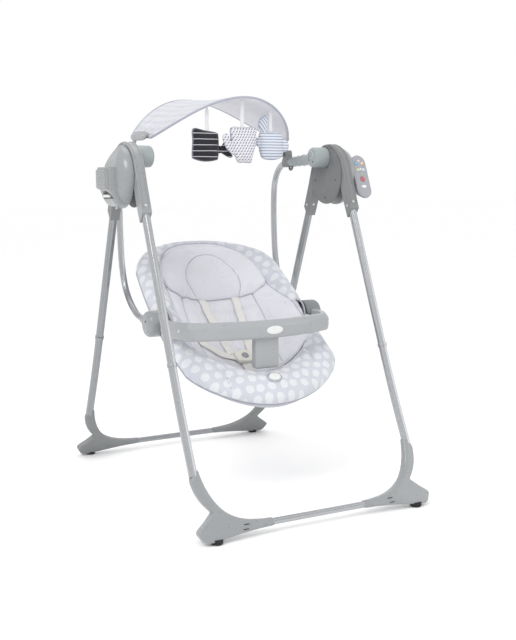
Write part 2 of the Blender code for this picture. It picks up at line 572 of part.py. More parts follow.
def seat_frame():
    """The oval tube under the pad's rim, with a boss at each end of the recline axis."""
    steps = 40
    ring = []
    for i in range(steps):
        x, s = seat_rim(2 * pi * i / steps)
        ring.append(seat_point(x * 0.86, s * 0.955, FRAME_N + foot_rise(s)))
    frame = add("seat_frame", tube(ring, FRAME_TUBE_R, FRAME_TUBE_R, seat_point(0, 0, 1) - seat_point(0, 0, 0), 10,
                                   closed=True), STEEL)
    for side in (-1, 1):
        web = [[seat_point(side * x, s, n) for s, n in ((-0.006, -0.024), (0.006, -0.024), (0.006, -0.008),
                                                       (-0.006, -0.008))] for x in (0.1865, 0.1975)]
        boolean(frame, tool(f"web_{side}", loft(web)), "UNION")
        boss = turned([(BOSS_IN, BOSS_R), (PIVOT_X - 0.0185, BOSS_R), (PIVOT_X - 0.0185, 0.0255),
                       (PIVOT_X + 0.0030, 0.0255)], SEAT_PIVOT, 24, side)
        boolean(frame, tool(f"boss_{side}", boss), "UNION")
    return frame


def head_pillow():
    """The oval pillow on the upper backrest."""
    steps, rings = 28, []
    for share, n in ((0.55, -0.0005), (0.92, 0.0), (1.0, 0.006), (0.97, 0.0125), (0.8, 0.0185), (0.4, 0.0205)):
        ring = []
        for i in range(steps):
            a = 2 * pi * i / steps
            c, k = cos(a), sin(a)
            x = PILLOW_HALF * share * abs(c) ** 0.85 * (1 if c >= 0 else -1)
            s = PILLOW_S + PILLOW_RISE * share * abs(k) ** 0.85 * (1 if k >= 0 else -1)
            ring.append(seat_point(x, s, RIM_TOP + 0.004 - seat_depth(x, s) + n))
        rings.append(ring)
    return add("head_pillow", loft(rings), FABRIC, 60)


def strap_route(side):
    """A shoulder strap's middle line as (x, s), from the pillow's lower edge to the buckle."""
    low = BUCKLE_S + 0.022
    return [(side * (0.048 - 0.024 * t), STRAP_TOP + (low - STRAP_TOP) * t) for t in (i / 8 for i in range(9))]


def harness():
    """Two shoulder straps that meet in a bridge at the buckle, as one sewn piece."""
    def flat(x, s, n):
        return seat_point(x, s, RIM_TOP - seat_depth(x, s) + n)

    rings = []
    for x, s in strap_route(-1) + strap_route(1)[::-1]:
        corners = ((-STRAP_HALF, 0.0), (STRAP_HALF, 0.0), (STRAP_HALF, STRAP_THICK), (-STRAP_HALF, STRAP_THICK))
        rings.append([flat(x + off, s, 0.003 + rise) for off, rise in corners])
    left, right = loft(rings[:9]), loft(rings[9:])
    straps = add("harness_straps", left, WEBBING)
    boolean(straps, tool("right_strap", right), "UNION")
    low, high = BUCKLE_S + 0.021, BUCKLE_S + 0.034
    bridge = loft([[flat(x, s, n) for s, n in ((low, 0.003), (high, 0.003), (high, 0.0058), (low, 0.0058))]
                   for x in (-0.034, -0.012, 0.012, 0.034)])
    boolean(straps, tool("strap_bridge", bridge), "UNION")
    return straps


def buckle():
    """The crotch buckle, with a round release button in its face."""
    base = RIM_TOP - seat_depth(0, BUCKLE_S)
    tilt = Matrix.Rotation(SEAT_TILT, 4, "X")
    middle = seat_point(0, BUCKLE_S, base)
    body = prism(rounded((-0.026, -0.0195), (0.026, 0.0195), 0.008), 0.004, 0.017, "Z")
    body.transform(Matrix.Translation(middle) @ tilt)
    piece = add("harness_buckle", body, ((0.80, 0.80, 0.76), 0.4, 0.0))
    place = Matrix.Translation(middle) @ tilt
    well = upright([(0.008, BUCKLE_R + 0.0004), (0.03, BUCKLE_R + 0.0004)], place, 18)
    boolean(piece, tool("buckle_well", well))
    press = upright([(0.0115, BUCKLE_R), (0.0176, BUCKLE_R), (0.0188, 0.78 * BUCKLE_R)], place, 18)
    return piece, add("buckle_button", press, ((0.55, 0.56, 0.56), 0.4, 0.0))


def foot_stud():
    """The oval stud that pins the cover at the footrest."""
    outline = [(0.0190 * cos(a), 0.0140 * sin(a)) for a in (2 * pi * i / 20 for i in range(20))]
    stud = prism(outline, 0.0006, 0.0060, "Z")
    place = seat_point(0, STUD_S, RIM_TOP - seat_depth(0, STUD_S))
    stud.transform(Matrix.Translation(place) @ Matrix.Rotation(SEAT_TILT, 4, "X"))
    return add("footrest_stud", stud, ((0.85, 0.86, 0.86), 0.35, 0.0))


def tray_line(t):
    """The play tray's middle line, t from -1 at the left pivot to +1 at the right, as (x, y)."""
    side = 1 if t > 0 else -1
    a = abs(t)
    if a < TRAY_BEND:
        u = a / TRAY_BEND
        return side * TRAY_HALF * u, TRAY_FRONT + 0.048 * u * u
    u = (a - TRAY_BEND) / (1 - TRAY_BEND)
    return side * (TRAY_HALF + 0.027 * sin(u * pi / 2)), TRAY_FRONT + 0.048 + 0.030 * u * u + 0.060 * u


def tray():
    """The bar in front of the baby: a bowed rail with arms back to the pivots, and a post down to the seat."""
    rings, steps, thick = [], 14, 0.0115
    for i in range(-steps, steps + 1):
        t = i / steps
        after, before = tray_line(min(1, t + 0.01)), tray_line(max(-1, t - 0.01))
        along = Vector((after[0] - before[0], after[1] - before[1], 0)).normalized()
        out = Vector((along.y, -along.x, 0))
        taper = 0.004 * max(0.0, abs(t) - TRAY_BEND) / (1 - TRAY_BEND)
        half = 0.0225 - taper
        middle = Vector((*tray_line(t), TRAY_Z + taper))
        section = [(thick * 0.75, half), (thick, half * 0.80), (thick * 1.05, 0), (thick * 0.9, -half * 0.8),
                   (thick * 0.5, -half), (-thick * 0.7, -half), (-thick, -half * 0.6), (-thick, half * 0.6),
                   (-thick * 0.75, half)]
        rings.append([middle + out * a + Vector((0, 0, b)) for a, b in section])
    rail = add("play_tray", loft(rings), PLASTIC)
    post = prism(rounded((-POST_HALF, TRAY_FRONT + 0.002), (POST_HALF, TRAY_FRONT + 0.028), 0.006), POST_LOW,
                 TRAY_Z - 0.012, "Z")
    boolean(rail, tool("tray_post", post), "UNION")
    return rail


# ---------------------------------------------------------------- toy bar

def canopy_edge(edge, t):
    k = sin(t)
    return Vector((-edge["x"] * cos(t), edge["y"] + edge["dy"] * k ** edge["py"],
                   edge["z"] + edge["dz"] * k ** edge["pz"]))


def canopy_point(t, v, lift):
    """A point of the canopy: t along the arch from left to right, v from its front edge to its back edge."""
    front, back = canopy_edge(CANOPY_FRONT, t), canopy_edge(CANOPY_BACK, t)
    crown = CANOPY_CROWN * sin(pi * v) * sin(t)
    out = Vector((-cos(t) * 0.7, 0, 1.0)).normalized()
    return front.lerp(back, v) + out * (crown + lift)


def canopy():
    rings = []
    count, across = 26, 7
    for i in range(count + 1):
        t = CANOPY_START + (pi - 2 * CANOPY_START) * i / count
        top = [canopy_point(t, j / across, CANOPY_THICK / 2) for j in range(across + 1)]
        under = [canopy_point(t, j / across, -CANOPY_THICK / 2) for j in range(across, -1, -1)]
        rings.append(top + under)
    return add("canopy_fabric", loft(rings), PRINT, 60)


def canopy_clip(side, hand):
    """The end plate of the toy bar, with the foot that turns in the arm clamp."""
    outline = [(0.2075, 0.8985), (0.2245, 0.8985), (0.2265, 0.9060), (0.1990, 0.9390), (0.1900, 0.9330),
               (0.2050, 0.9130)]
    clip = add(f"canopy_clip_{hand}", prism([(side * x, z) for x, z in outline], 0.0960, 0.1740, "Y"), PLASTIC)
    foot = [(0.1180, 0.9020), (0.1620, 0.9020), *arc(CANOPY_AXIS, 0.0100, 20, -200, 8)]
    foot_tool = tool(f"clip_foot_{hand}", prism(foot, side * 0.2165, side * 0.2247))
    boolean(clip, foot_tool, "UNION")
    return clip


def hang_point(x):
    """Where a toy's ribbon is sewn under the canopy's front edge."""
    t = acos(-x / CANOPY_FRONT["x"])
    place = canopy_point(t, 0.06, 0.0)
    return Vector((x, place.y, place.z - CANOPY_THICK / 2 - 0.0012))


def cushion(outline, half):
    """A stuffed outline in X and Z that is thick in the middle and thin at its seam."""
    middle = Vector((sum(p[0] for p in outline), 0, sum(p[1] for p in outline))) / len(outline)
    rings = []
    for share, depth in ((0.55, -half), (0.90, -0.7 * half), (1.0, 0.0), (0.90, 0.7 * half), (0.55, half)):
        rings.append([Vector((middle.x + (a - middle.x) * share, depth, middle.z + (b - middle.z) * share))
                      for a, b in outline])
    return loft(rings)


def toy_outline(name):
    """The stuffed body and the flatter limbs, each as (x, z) from the ribbon's lower end."""
    if name == "toy_block":
        body = [(-0.040, 0.003), (-0.006, -0.001), (0.026, -0.006), (0.031, -0.014), (0.032, -0.040),
                (0.030, -0.070), (0.022, -0.077), (-0.010, -0.080), (-0.038, -0.074), (-0.044, -0.070),
                (-0.042, -0.030)]
        tail = [(0.022, -0.034), (0.040, -0.040), (0.050, -0.030), (0.060, -0.036), (0.066, -0.052),
                (0.074, -0.066), (0.066, -0.070), (0.052, -0.064), (0.040, -0.058), (0.022, -0.060)]
        return body, [tail]
    if name == "toy_elephant":
        body = [(-0.033, 0.000), (0.000, 0.001), (0.036, 0.001), (0.040, -0.020), (0.038, -0.045),
                (0.028, -0.074), (0.024, -0.089), (0.004, -0.089), (-0.014, -0.088), (-0.020, -0.076),
                (-0.032, -0.058), (-0.034, -0.030)]
        trunk = [(-0.022, -0.034), (-0.036, -0.034), (-0.043, -0.018), (-0.052, -0.016), (-0.059, -0.024),
                 (-0.054, -0.042), (-0.044, -0.058), (-0.022, -0.070)]
        return body, [trunk]
    body = [(-0.032, -0.002), (-0.006, 0.000), (0.018, 0.000), (0.034, -0.010), (0.037, -0.034),
            (0.035, -0.062), (0.020, -0.071), (-0.004, -0.073), (-0.026, -0.068), (-0.034, -0.048),
            (-0.036, -0.024)]
    ear = [(-0.026, -0.006), (-0.036, 0.016), (-0.032, 0.033), (-0.020, 0.042), (-0.009, 0.040),
           (-0.010, 0.020), (-0.012, -0.006)]
    left_fin = [(-0.030, -0.014), (-0.043, -0.018), (-0.046, -0.026), (-0.042, -0.036), (-0.030, -0.040)]
    right_fin = [(0.030, -0.018), (0.048, -0.022), (0.054, -0.032), (0.052, -0.046), (0.042, -0.052),
                 (0.030, -0.048)]
    return body, [ear, left_fin, right_fin]


def toy(name, x, ribbon_end):
    top = hang_point(x)
    outline, limbs = toy_outline(name)
    place = Matrix.Translation((x, top.y, ribbon_end))
    body = cushion(outline, TOY_HALF)
    body.transform(place)
    piece = add(name, body, ((0.12, 0.12, 0.13), 0.9, 0.0) if name == "toy_block" else FABRIC, 60)
    for i, limb_outline in enumerate(limbs):
        limb = cushion(limb_outline, LIMB_HALF)
        limb.transform(place @ Matrix.Translation((0, LIMB_OFFSET[name], 0)))
        boolean(piece, tool(f"limb_{name}_{i}", limb), "UNION")
    ribbon = box((x - 0.0045, top.y - 0.0008, ribbon_end - 0.012), (x + 0.0045, top.y + 0.0008, top.z - 0.0035))
    boolean(piece, tool(f"ribbon_{name}", ribbon), "UNION")
    carry(axis(f"{name}_axis", top), piece)


# ---------------------------------------------------------------- assembly

fold_axis = axis("fold_axis", Vector((0, 0, HUB_Z)))
swing_axis = axis("swing_axis", Vector((0, 0, AXLE_Z)))
seat_axis = axis("seat_axis", Vector((0, *SEAT_PIVOT)))
toy_bar_axis = axis("toy_bar_axis", Vector((0, *CANOPY_AXIS)))

frame_pieces("front", -1)
carry(fold_axis, *frame_pieces("rear", 1))
for side, hand in ((-1, "left"), (1, "right")):
    leg_head("front", side, -1)
    carry(fold_axis, leg_head("rear", side, 1))
    hub(side, hand)
    carry(swing_axis, swing_hub(side, hand), clamp(side, hand), arm(side, hand), pivot_cover(side, hand))
    carry(toy_bar_axis, canopy_clip(side, hand))
battery_side()
control_side()
carry(swing_axis, magnet_arm())
carry(seat_axis, seat_frame(), seat_pad(), head_pillow(), harness(), *buckle(), foot_stud(), tray())
carry(toy_bar_axis, canopy())
for toy_name, toy_x, toy_top in TOYS:
    toy(toy_name, toy_x, toy_top)
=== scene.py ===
"""Looks for the baby swing: every visible surface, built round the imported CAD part.

Metres, +Z up, X along the swing axle, the baby's feet to -Y. Paired pieces are made with side = -1
(left) or +1.
"""

from math import acos, atan2, copysign, cos, pi, radians, sin

import bmesh
import bpy
import numpy as np
from mathutils import Matrix, Vector, noise
from mathutils.bvhtree import BVHTree


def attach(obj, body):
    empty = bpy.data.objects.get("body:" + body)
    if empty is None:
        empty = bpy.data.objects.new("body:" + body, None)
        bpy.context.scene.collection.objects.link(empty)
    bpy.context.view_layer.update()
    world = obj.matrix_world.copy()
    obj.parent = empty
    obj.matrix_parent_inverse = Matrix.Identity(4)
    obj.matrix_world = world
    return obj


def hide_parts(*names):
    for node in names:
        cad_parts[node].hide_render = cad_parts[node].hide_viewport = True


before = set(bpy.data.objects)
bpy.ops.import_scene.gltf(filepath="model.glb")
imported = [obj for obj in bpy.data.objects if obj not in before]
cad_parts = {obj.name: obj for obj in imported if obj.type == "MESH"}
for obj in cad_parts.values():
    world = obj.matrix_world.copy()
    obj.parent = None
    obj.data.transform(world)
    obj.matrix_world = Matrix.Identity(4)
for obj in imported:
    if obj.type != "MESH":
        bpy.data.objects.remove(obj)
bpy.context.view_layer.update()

SIDES = ((-1, "left"), (1, "right"))

# The same sizes as in the CAD part
AXLE_Z, HUB_Z, HUB_R, KNOB_R, KNOB_IN = 0.866, 0.816, 0.078, 0.027, 0.233
PLATE_IN, HEAD_IN, HEAD_OUT, SHELL_IN, SHELL_OUT, SIDE_REACH = 0.2795, 0.2842, 0.31, 0.3104, 0.347, 0.371
BOX_LOW, BOX_TOP = 0.785, 0.84
POD_LENGTH, POD_HALF, POD_LEAN, LEG_LEAN = 0.116, 0.0225, radians(22.6), radians(22.6)
POD_CENTRE = Vector((SIDE_REACH - POD_HALF, -0.075, 0.818))
LEG_X, LEG_R, SOCKET_Z, CORNER_Z, KNEE_Y, KNEE_Z = 0.2965, 0.0105, 0.742, 0.15, 0.2545, 0.378
HEAD_TIP_FRONT, HEAD_TIP_BACK = 0.724, 0.709
BASE_Z, BASE_R, BASE_END, PAD_X, PAD_Y = 0.0245, 0.0078, 0.125, 0.2736, 0.437
ARM_X, ARM_R = 0.24, 0.0085
ARM_ROUTE = ((0.1385, 0.856), (0.1565, 0.853), (0.178, 0.846), (0.204, 0.823), (0.2195, 0.785),
             (0.2235, 0.725), (0.2215, 0.645), (0.2145, 0.58), (0.196, 0.525), (0.162, 0.485),
             (0.118, 0.458), (0.078, 0.448), (0.0455, 0.4445))
SEAT_PIVOT, PIVOT_X, PIVOT_R = (0.01, 0.44), 0.23, 0.034
SEAT_TILT, SEAT_HEAD, SEAT_FOOT, SEAT_STRAIGHT, SEAT_HALF = radians(37.3), 0.323, 0.313, 0.13, 0.2245
RIM_TOP, RIM_LOW = 0.026, -0.012
BUCKLE_S, STUD_S = -0.105, -0.252
TRAY_Z, TRAY_HALF, TRAY_FRONT, TRAY_BEND = 0.432, 0.196, -0.178, 0.72
CANOPY_FRONT = dict(x=0.2093, y=0.0986, z=0.9111, dy=-0.1699, py=1.43, dz=0.1033, pz=2.06)
CANOPY_BACK = dict(x=0.2183, y=0.1659, z=0.9266, dy=0.1342, py=1.53, dz=0.1071, pz=2.36)
CANOPY_END = radians(14)

GREY, DARK = (0.27, 0.281, 0.29), (0.165, 0.17, 0.172)
# Darker copies of GREY, as painted shade: the first on the rear frame, the clamp blocks and the right pivot
# cover, the second on the right-hand leg heads.
GREY_PAINTED_SHADE, SHADED = (0.215, 0.224, 0.228), (0.205, 0.212, 0.216)
LAVENDER, PALE, WHITE = (0.57, 0.585, 0.64), (0.69, 0.69, 0.735), (0.69, 0.7, 0.73)
SHADED_LAVENDER, SHADED_WHITE = (0.5, 0.512, 0.555), (0.59, 0.6, 0.635)
PRINT_PITCH, BLOB_SIZE = 0.0315, 0.335
STITCH = 0.0042         # from one stitch to the next


# ---------------------------------------------------------------- material nodes

class Shade:
    """A Principled material and short ways to add nodes to it."""

    def __init__(self, name, rough=0.5, metallic=0.0, coat=0.0, sheen=0.0, ior=1.45):
        self.material = bpy.data.materials.new(name)
        self.material.use_nodes = True
        self.tree = self.material.node_tree
        self.shader = self.tree.nodes["Principled BSDF"]
        for socket, value in (("Roughness", rough), ("Metallic", metallic), ("Coat Weight", coat),
                              ("Sheen Weight", sheen), ("IOR", ior)):
            self.shader.inputs[socket].default_value = value
        self.shader.inputs["Coat Roughness"].default_value = 0.14
        self.shader.inputs["Sheen Roughness"].default_value = 0.45

    def node(self, kind, inputs=(), out=0, **settings):
        """A node with its inputs set to values or linked to sockets."""
        made = self.tree.nodes.new(kind)
        for key, value in settings.items():
            setattr(made, key, value)
        for key, value in dict(inputs).items():
            if isinstance(value, bpy.types.NodeSocket):
                self.tree.links.new(value, made.inputs[key])
            else:
                made.inputs[key].default_value = value
        return made.outputs[out]

    def math(self, operation, a, b=0.0, c=0.0):
        return self.node("ShaderNodeMath", {0: a, 1: b, 2: c}, operation=operation)

    def from_middle(self, value):
        """How far a value lies from the middle of its cell, with cells one unit wide."""
        return self.math("SUBTRACT", self.math("FRACT", value), 0.5)

    def vector(self, operation, a, b=(0, 0, 0), scale=1.0, out=0):
        inputs = {0: a, 1: b}
        if operation == "SCALE":
            inputs = {0: a, "Scale": scale}
        return self.node("ShaderNodeVectorMath", inputs, out, operation=operation)

    def place(self):
        """The point's place in its object, in metres."""
        return self.node("ShaderNodeTexCoord", out=3)

    def uv(self):
        """The point's UV, which every piece has in metres."""
        return self.node("ShaderNodeTexCoord", out=2)

    def attribute(self, name):
        return self.node("ShaderNodeAttribute", out=2, attribute_name=name)

    def noise(self, scale, detail=2.0, where=None, rough=0.5):
        inputs = {"Vector": where or self.place(), "Scale": scale, "Detail": detail, "Roughness": rough}
        return self.node("ShaderNodeTexNoise", inputs)

    def ramp(self, value, low, high, to_low=0.0, to_high=1.0):
        """A smooth change from to_low to to_high as value goes from low to high."""
        inputs = {"Value": value, "From Min": low, "From Max": high, "To Min": to_low, "To Max": to_high}
        return self.node("ShaderNodeMapRange", inputs, interpolation_type="SMOOTHSTEP")

    def mix(self, share, a, b):
        made = self.tree.nodes.new("ShaderNodeMix")
        made.data_type = "RGBA"
        for index, value in ((0, share), (6, a), (7, b)):
            if isinstance(value, bpy.types.NodeSocket):
                self.tree.links.new(value, made.inputs[index])
            else:
                made.inputs[index].default_value = value if index == 0 else (*value, 1.0)
        return made.outputs[2]

    def colour(self, value):
        self.tree.links.new(value, self.shader.inputs["Base Color"])

    def rough(self, value):
        self.tree.links.new(value, self.shader.inputs["Roughness"])

    def bump(self, height, strength, distance):
        made = self.node("ShaderNodeBump", {"Height": height, "Strength": strength, "Distance": distance})
        self.tree.links.new(made, self.shader.inputs["Normal"])


def shift(colour, share):
    return tuple(min(1.0, c * share) for c in colour)


def plastic(name, colour, rough, coat):
    """Moulded plastic: a fine spark-eroded grain, slow colour drift and uneven gloss."""
    s = Shade(name, rough, coat=coat, ior=1.5)
    s.colour(s.mix(s.noise(9.0, 3.0), shift(colour, 0.965), shift(colour, 1.035)))
    s.rough(s.ramp(s.noise(55.0, 3.0), 0.3, 0.7, rough - 0.05, rough + 0.06))
    fine = s.math("ADD", s.noise(2300.0, 1.0), s.math("MULTIPLY", s.noise(160.0, 2.0), 0.5))
    s.bump(fine, 0.1, 0.00012)
    return s.material


def metal(name, colour, rough):
    """Drawn aluminium tube: fine scratches along its length, read from the UV map's length axis."""
    s = Shade(name, rough, metallic=1.0)
    stretched = s.vector("MULTIPLY", s.uv(), (4200.0, 14.0, 0.0))
    lines = s.noise(1.0, 4.0, stretched, 0.6)
    s.colour(s.mix(lines, shift(colour, 0.93), shift(colour, 1.05)))
    s.rough(s.ramp(s.math("ADD", lines, s.math("MULTIPLY", s.noise(30.0, 2.0), 0.35)), 0.4, 0.9,
                   rough - 0.06, rough + 0.08))
    s.bump(lines, 0.06, 0.0001)
    return s.material


def solid_metal(name, colour, rough=0.35):
    """Bare metal without the brushing."""
    s = Shade(name, rough, metallic=1.0)
    s.colour(s.mix(s.noise(400.0, 3.0), shift(colour, 0.9), shift(colour, 1.08)))
    s.rough(s.ramp(s.noise(120.0, 3.0), 0.3, 0.7, rough - 0.06, rough + 0.08))
    return s.material


def rubber(name, colour):
    """Dull rubber."""
    s = Shade(name, 0.72)
    s.colour(s.mix(s.noise(60.0, 3.0), shift(colour, 0.8), shift(colour, 1.5)))
    s.rough(s.ramp(s.noise(200.0, 2.0), 0.3, 0.7, 0.62, 0.82))
    s.bump(s.noise(1500.0, 2.0), 0.25, 0.0002)
    return s.material


def weave_height(s, where, pitch):
    """A plain weave: threads over and under one another along both UV axes."""
    parts = s.node("ShaderNodeSeparateXYZ", {0: where})
    other = parts.node.outputs[1]
    across = s.math("SINE", s.math("MULTIPLY", parts, 2 * pi / pitch))
    along = s.math("SINE", s.math("MULTIPLY", other, 2 * pi / pitch))
    return s.math("MULTIPLY", across, along)


def cloth_finish(s, colour, where, pitch=0.0013, strength=0.35):
    """Weave bump, soft unevenness and slight thread colour variation over a base colour."""
    weave = weave_height(s, where, pitch)
    fuzz = s.noise(650.0, 3.0)
    drift = s.noise(14.0, 3.0)
    shade = s.math("ADD", s.math("MULTIPLY", fuzz, 0.5), s.math("MULTIPLY", drift, 0.5))
    s.colour(s.node("ShaderNodeHueSaturation", {"Color": colour,
                                                "Value": s.ramp(shade, 0.3, 0.7, 0.955, 1.03)}))
    height = s.math("ADD", s.math("MULTIPLY", weave, 0.5), s.math("MULTIPLY", fuzz, 0.9))
    s.bump(height, strength, 0.0004)


def crease_shade_and_stitches(s, colour, thread):
    """Paints shade into a seam's crease and lays stitches beside it: seam is the distance to it, along the
    way along it.
    """
    seam = s.attribute("seam")
    painted_crease_shade = s.ramp(seam, 0.0006, 0.0022, 1.0, 0.0)
    beside = s.math("MULTIPLY", s.ramp(seam, 0.0022, 0.0026), s.ramp(seam, 0.0034, 0.0038, 1.0, 0.0))
    beat = s.from_middle(s.math("MULTIPLY", s.attribute("along"), 1 / STITCH))
    dash = s.math("MULTIPLY", beside, s.ramp(s.math("ABSOLUTE", beat), 0.3, 0.36, 1.0, 0.0))
    # The dark colour mixed in along a seam is painted shade in its crease; pieces with no seam marks read
    # zero and take it all over.
    shaded_in_crease = s.mix(s.math("MULTIPLY", painted_crease_shade, 0.6), colour, (0.3, 0.31, 0.38))
    return s.mix(s.math("MULTIPLY", dash, 0.7), shaded_in_crease, thread)


def blob_mask(s, where, pitch, size):
    """Rounded blobs in staggered rows, each with its own outline and offset."""
    cells = s.vector("DIVIDE", where, (pitch, pitch * 0.92, 1.0))
    x = s.node("ShaderNodeSeparateXYZ", {0: cells})
    y = x.node.outputs[1]
    row = s.math("FLOOR", y)
    x = s.math("ADD", x, s.math("MULTIPLY", s.math("PINGPONG", row, 1.0), 0.5))
    column = s.math("FLOOR", x)
    key = s.node("ShaderNodeCombineXYZ", {0: column, 1: row})
    jitter = s.node("ShaderNodeTexWhiteNoise", {"Vector": key}, out=1, noise_dimensions="3D")
    jitter = s.vector("SCALE", s.vector("SUBTRACT", jitter, (0.5, 0.5, 0.5)), scale=0.16)
    spot = s.node("ShaderNodeCombineXYZ", {0: s.from_middle(x), 1: s.from_middle(y)})
    spot = s.vector("ADD", spot, jitter)
    wobble = s.noise(2.6, 1.0, s.vector("ADD", cells, s.vector("SCALE", key, scale=3.7)))
    reach = s.math("ADD", s.vector("LENGTH", s.vector("MULTIPLY", spot, (1.0, 0.9, 0.0)), out=1),
                   s.math("MULTIPLY", s.math("SUBTRACT", wobble, 0.5), 0.22))
    return s.ramp(reach, size - 0.025, size + 0.025, 1.0, 0.0)


def printed_cloth(name, ground, blob):
    """The printed cloth on pieces that have no plain zone."""
    s = Shade(name, 0.88, sheen=0.3)
    printed = s.mix(blob_mask(s, s.uv(), PRINT_PITCH, BLOB_SIZE), ground, blob)
    cloth_finish(s, crease_shade_and_stitches(s, printed, WHITE), s.uv())
    return s.material


def seat_cloth(name, ground, blob):
    """The seat cover: printed where its zone is above zero and plain elsewhere."""
    s = Shade(name, 0.88, sheen=0.35)
    zone = s.ramp(s.attribute("zone"), -0.0006, 0.0006)
    colour = s.mix(zone, PALE, s.mix(blob_mask(s, s.uv(), PRINT_PITCH, BLOB_SIZE), ground, blob))
    cloth_finish(s, crease_shade_and_stitches(s, colour, WHITE), s.uv())
    return s.material


def plain_cloth(name, colour):
    """Cloth of one colour."""
    s = Shade(name, 0.9, sheen=0.35)
    cloth_finish(s, crease_shade_and_stitches(s, colour, shift(colour, 1.12)), s.uv())
    return s.material


def toy_cloth(s, mask, base, mark):
    """The finer weave of the toys, in two colours."""
    cloth_finish(s, crease_shade_and_stitches(s, s.mix(mask, base, mark), shift(base, 1.1)), s.uv(), 0.001, 0.45)
    return s.material


def striped_cloth(name, base, line, pitch, width):
    """Woven stripes across a toy, at a pitch and width in metres."""
    s = Shade(name, 0.9, sheen=0.3)
    place = s.node("ShaderNodeSeparateXYZ", {0: s.uv()})
    height = s.math("ADD", place.node.outputs[1], s.math("MULTIPLY", s.noise(28.0, 1.0), 0.002))
    beat = s.math("MULTIPLY", s.math("ABSOLUTE", s.from_middle(s.math("DIVIDE", height, pitch))), pitch)
    return toy_cloth(s, s.ramp(beat, width / 2 - 0.0003, width / 2 + 0.0003, 1.0, 0.0), base, line)


def dashed_cloth(name, base, mark, pitch):
    """Small slanted dashes in staggered rows."""
    s = Shade(name, 0.9, sheen=0.3)
    x = s.node("ShaderNodeSeparateXYZ", {0: s.vector("DIVIDE", s.uv(), (pitch, pitch * 0.86, 1.0))})
    y = x.node.outputs[1]
    x = s.math("ADD", x, s.math("MULTIPLY", s.math("PINGPONG", s.math("FLOOR", y), 1.0), 0.5))
    dx, dy = s.from_middle(x), s.from_middle(y)
    slant = s.math("ABSOLUTE", s.math("SUBTRACT", dx, s.math("MULTIPLY", dy, 0.7)))
    high = s.ramp(s.math("ABSOLUTE", dy), 0.28, 0.34, 1.0, 0.0)
    return toy_cloth(s, s.math("MULTIPLY", s.ramp(slant, 0.16, 0.22, 1.0, 0.0), high), base, mark)


def webbing(name, colour):
    """Narrow-woven tape: ribs across its length and a firm edge."""
    s = Shade(name, 0.82, sheen=0.25)
    parts = s.node("ShaderNodeSeparateXYZ", {0: s.uv()})
    ribs = s.math("SINE", s.math("MULTIPLY", parts.node.outputs[1], 2 * pi / 0.0021))
    lines = s.math("SINE", s.math("MULTIPLY", parts, 2 * pi / 0.0032))
    fuzz = s.noise(500.0, 3.0)
    shade = s.ramp(s.math("ADD", s.math("MULTIPLY", ribs, 0.18), fuzz), 0.2, 0.8, 0.93, 1.04)
    s.colour(s.node("ShaderNodeHueSaturation", {"Color": (*colour, 1.0), "Value": shade}))
    s.bump(s.math("ADD", ribs, s.math("MULTIPLY", lines, 0.5)), 0.5, 0.0003)
    return s.material


# Plastics as (material name, colour, roughness, coat)
PLASTICS = {
    "grey": ("moulded_grey", GREY, 0.3, 0.3), "dark": ("moulded_dark", DARK, 0.5, 0),
    "rear": ("moulded_grey_painted_shade", GREY_PAINTED_SHADE, 0.45, 0), "shaded": ("moulded_shaded", SHADED, 0.45, 0),
    "knob": ("knob_grey", (0.3, 0.335, 0.338), 0.34, 0),
    # The knob's ring is real, and its lighter grey is a painted highlight on its rim.
    "knob_ring_highlight": ("knob_ring_highlight", (0.46, 0.48, 0.49), 0.3, 0),
    "pod": ("pod_grey", (0.325, 0.33, 0.36), 0.36, 0),
    "tray": ("tray_grey", (0.35, 0.362, 0.374), 0.32, 0.2),
    "white_part": ("moulded_white", (0.72, 0.73, 0.72), 0.3, 0),
    "cream": ("cream_plastic", (0.68, 0.67, 0.61), 0.35, 0),
    # Black for inner parts, and painted shade inside holes, wells and slits.
    "black_and_hole_shade": ("black_and_painted_hole_shade", (0.03, 0.03, 0.03), 0.6, 0),
    "green": ("green_light", (0.25, 0.55, 0.15), 0.25, 0.3),
    "cell": ("cell_wrap", (0.05, 0.06, 0.09), 0.3, 0.3),
    "board": ("green_board", (0.02, 0.14, 0.06), 0.45, 0),
    "key_power": ("key_power", (0.44, 0.11, 0.11), 0.3, 0.2),
    "key_melody": ("key_melody", (0.2, 0.42, 0.6), 0.3, 0.2),
    "key_nature": ("key_nature", (0.7, 0.52, 0.36), 0.3, 0.2),
    "key_volume": ("key_volume", (0.58, 0.6, 0.34), 0.3, 0.2),
    "key_timer": ("key_timer", (0.52, 0.6, 0.68), 0.3, 0.2),
    "key_upper": ("key_upper", (0.66, 0.56, 0.6), 0.3, 0.2),
}
look = {key: plastic(*values) for key, values in PLASTICS.items()}
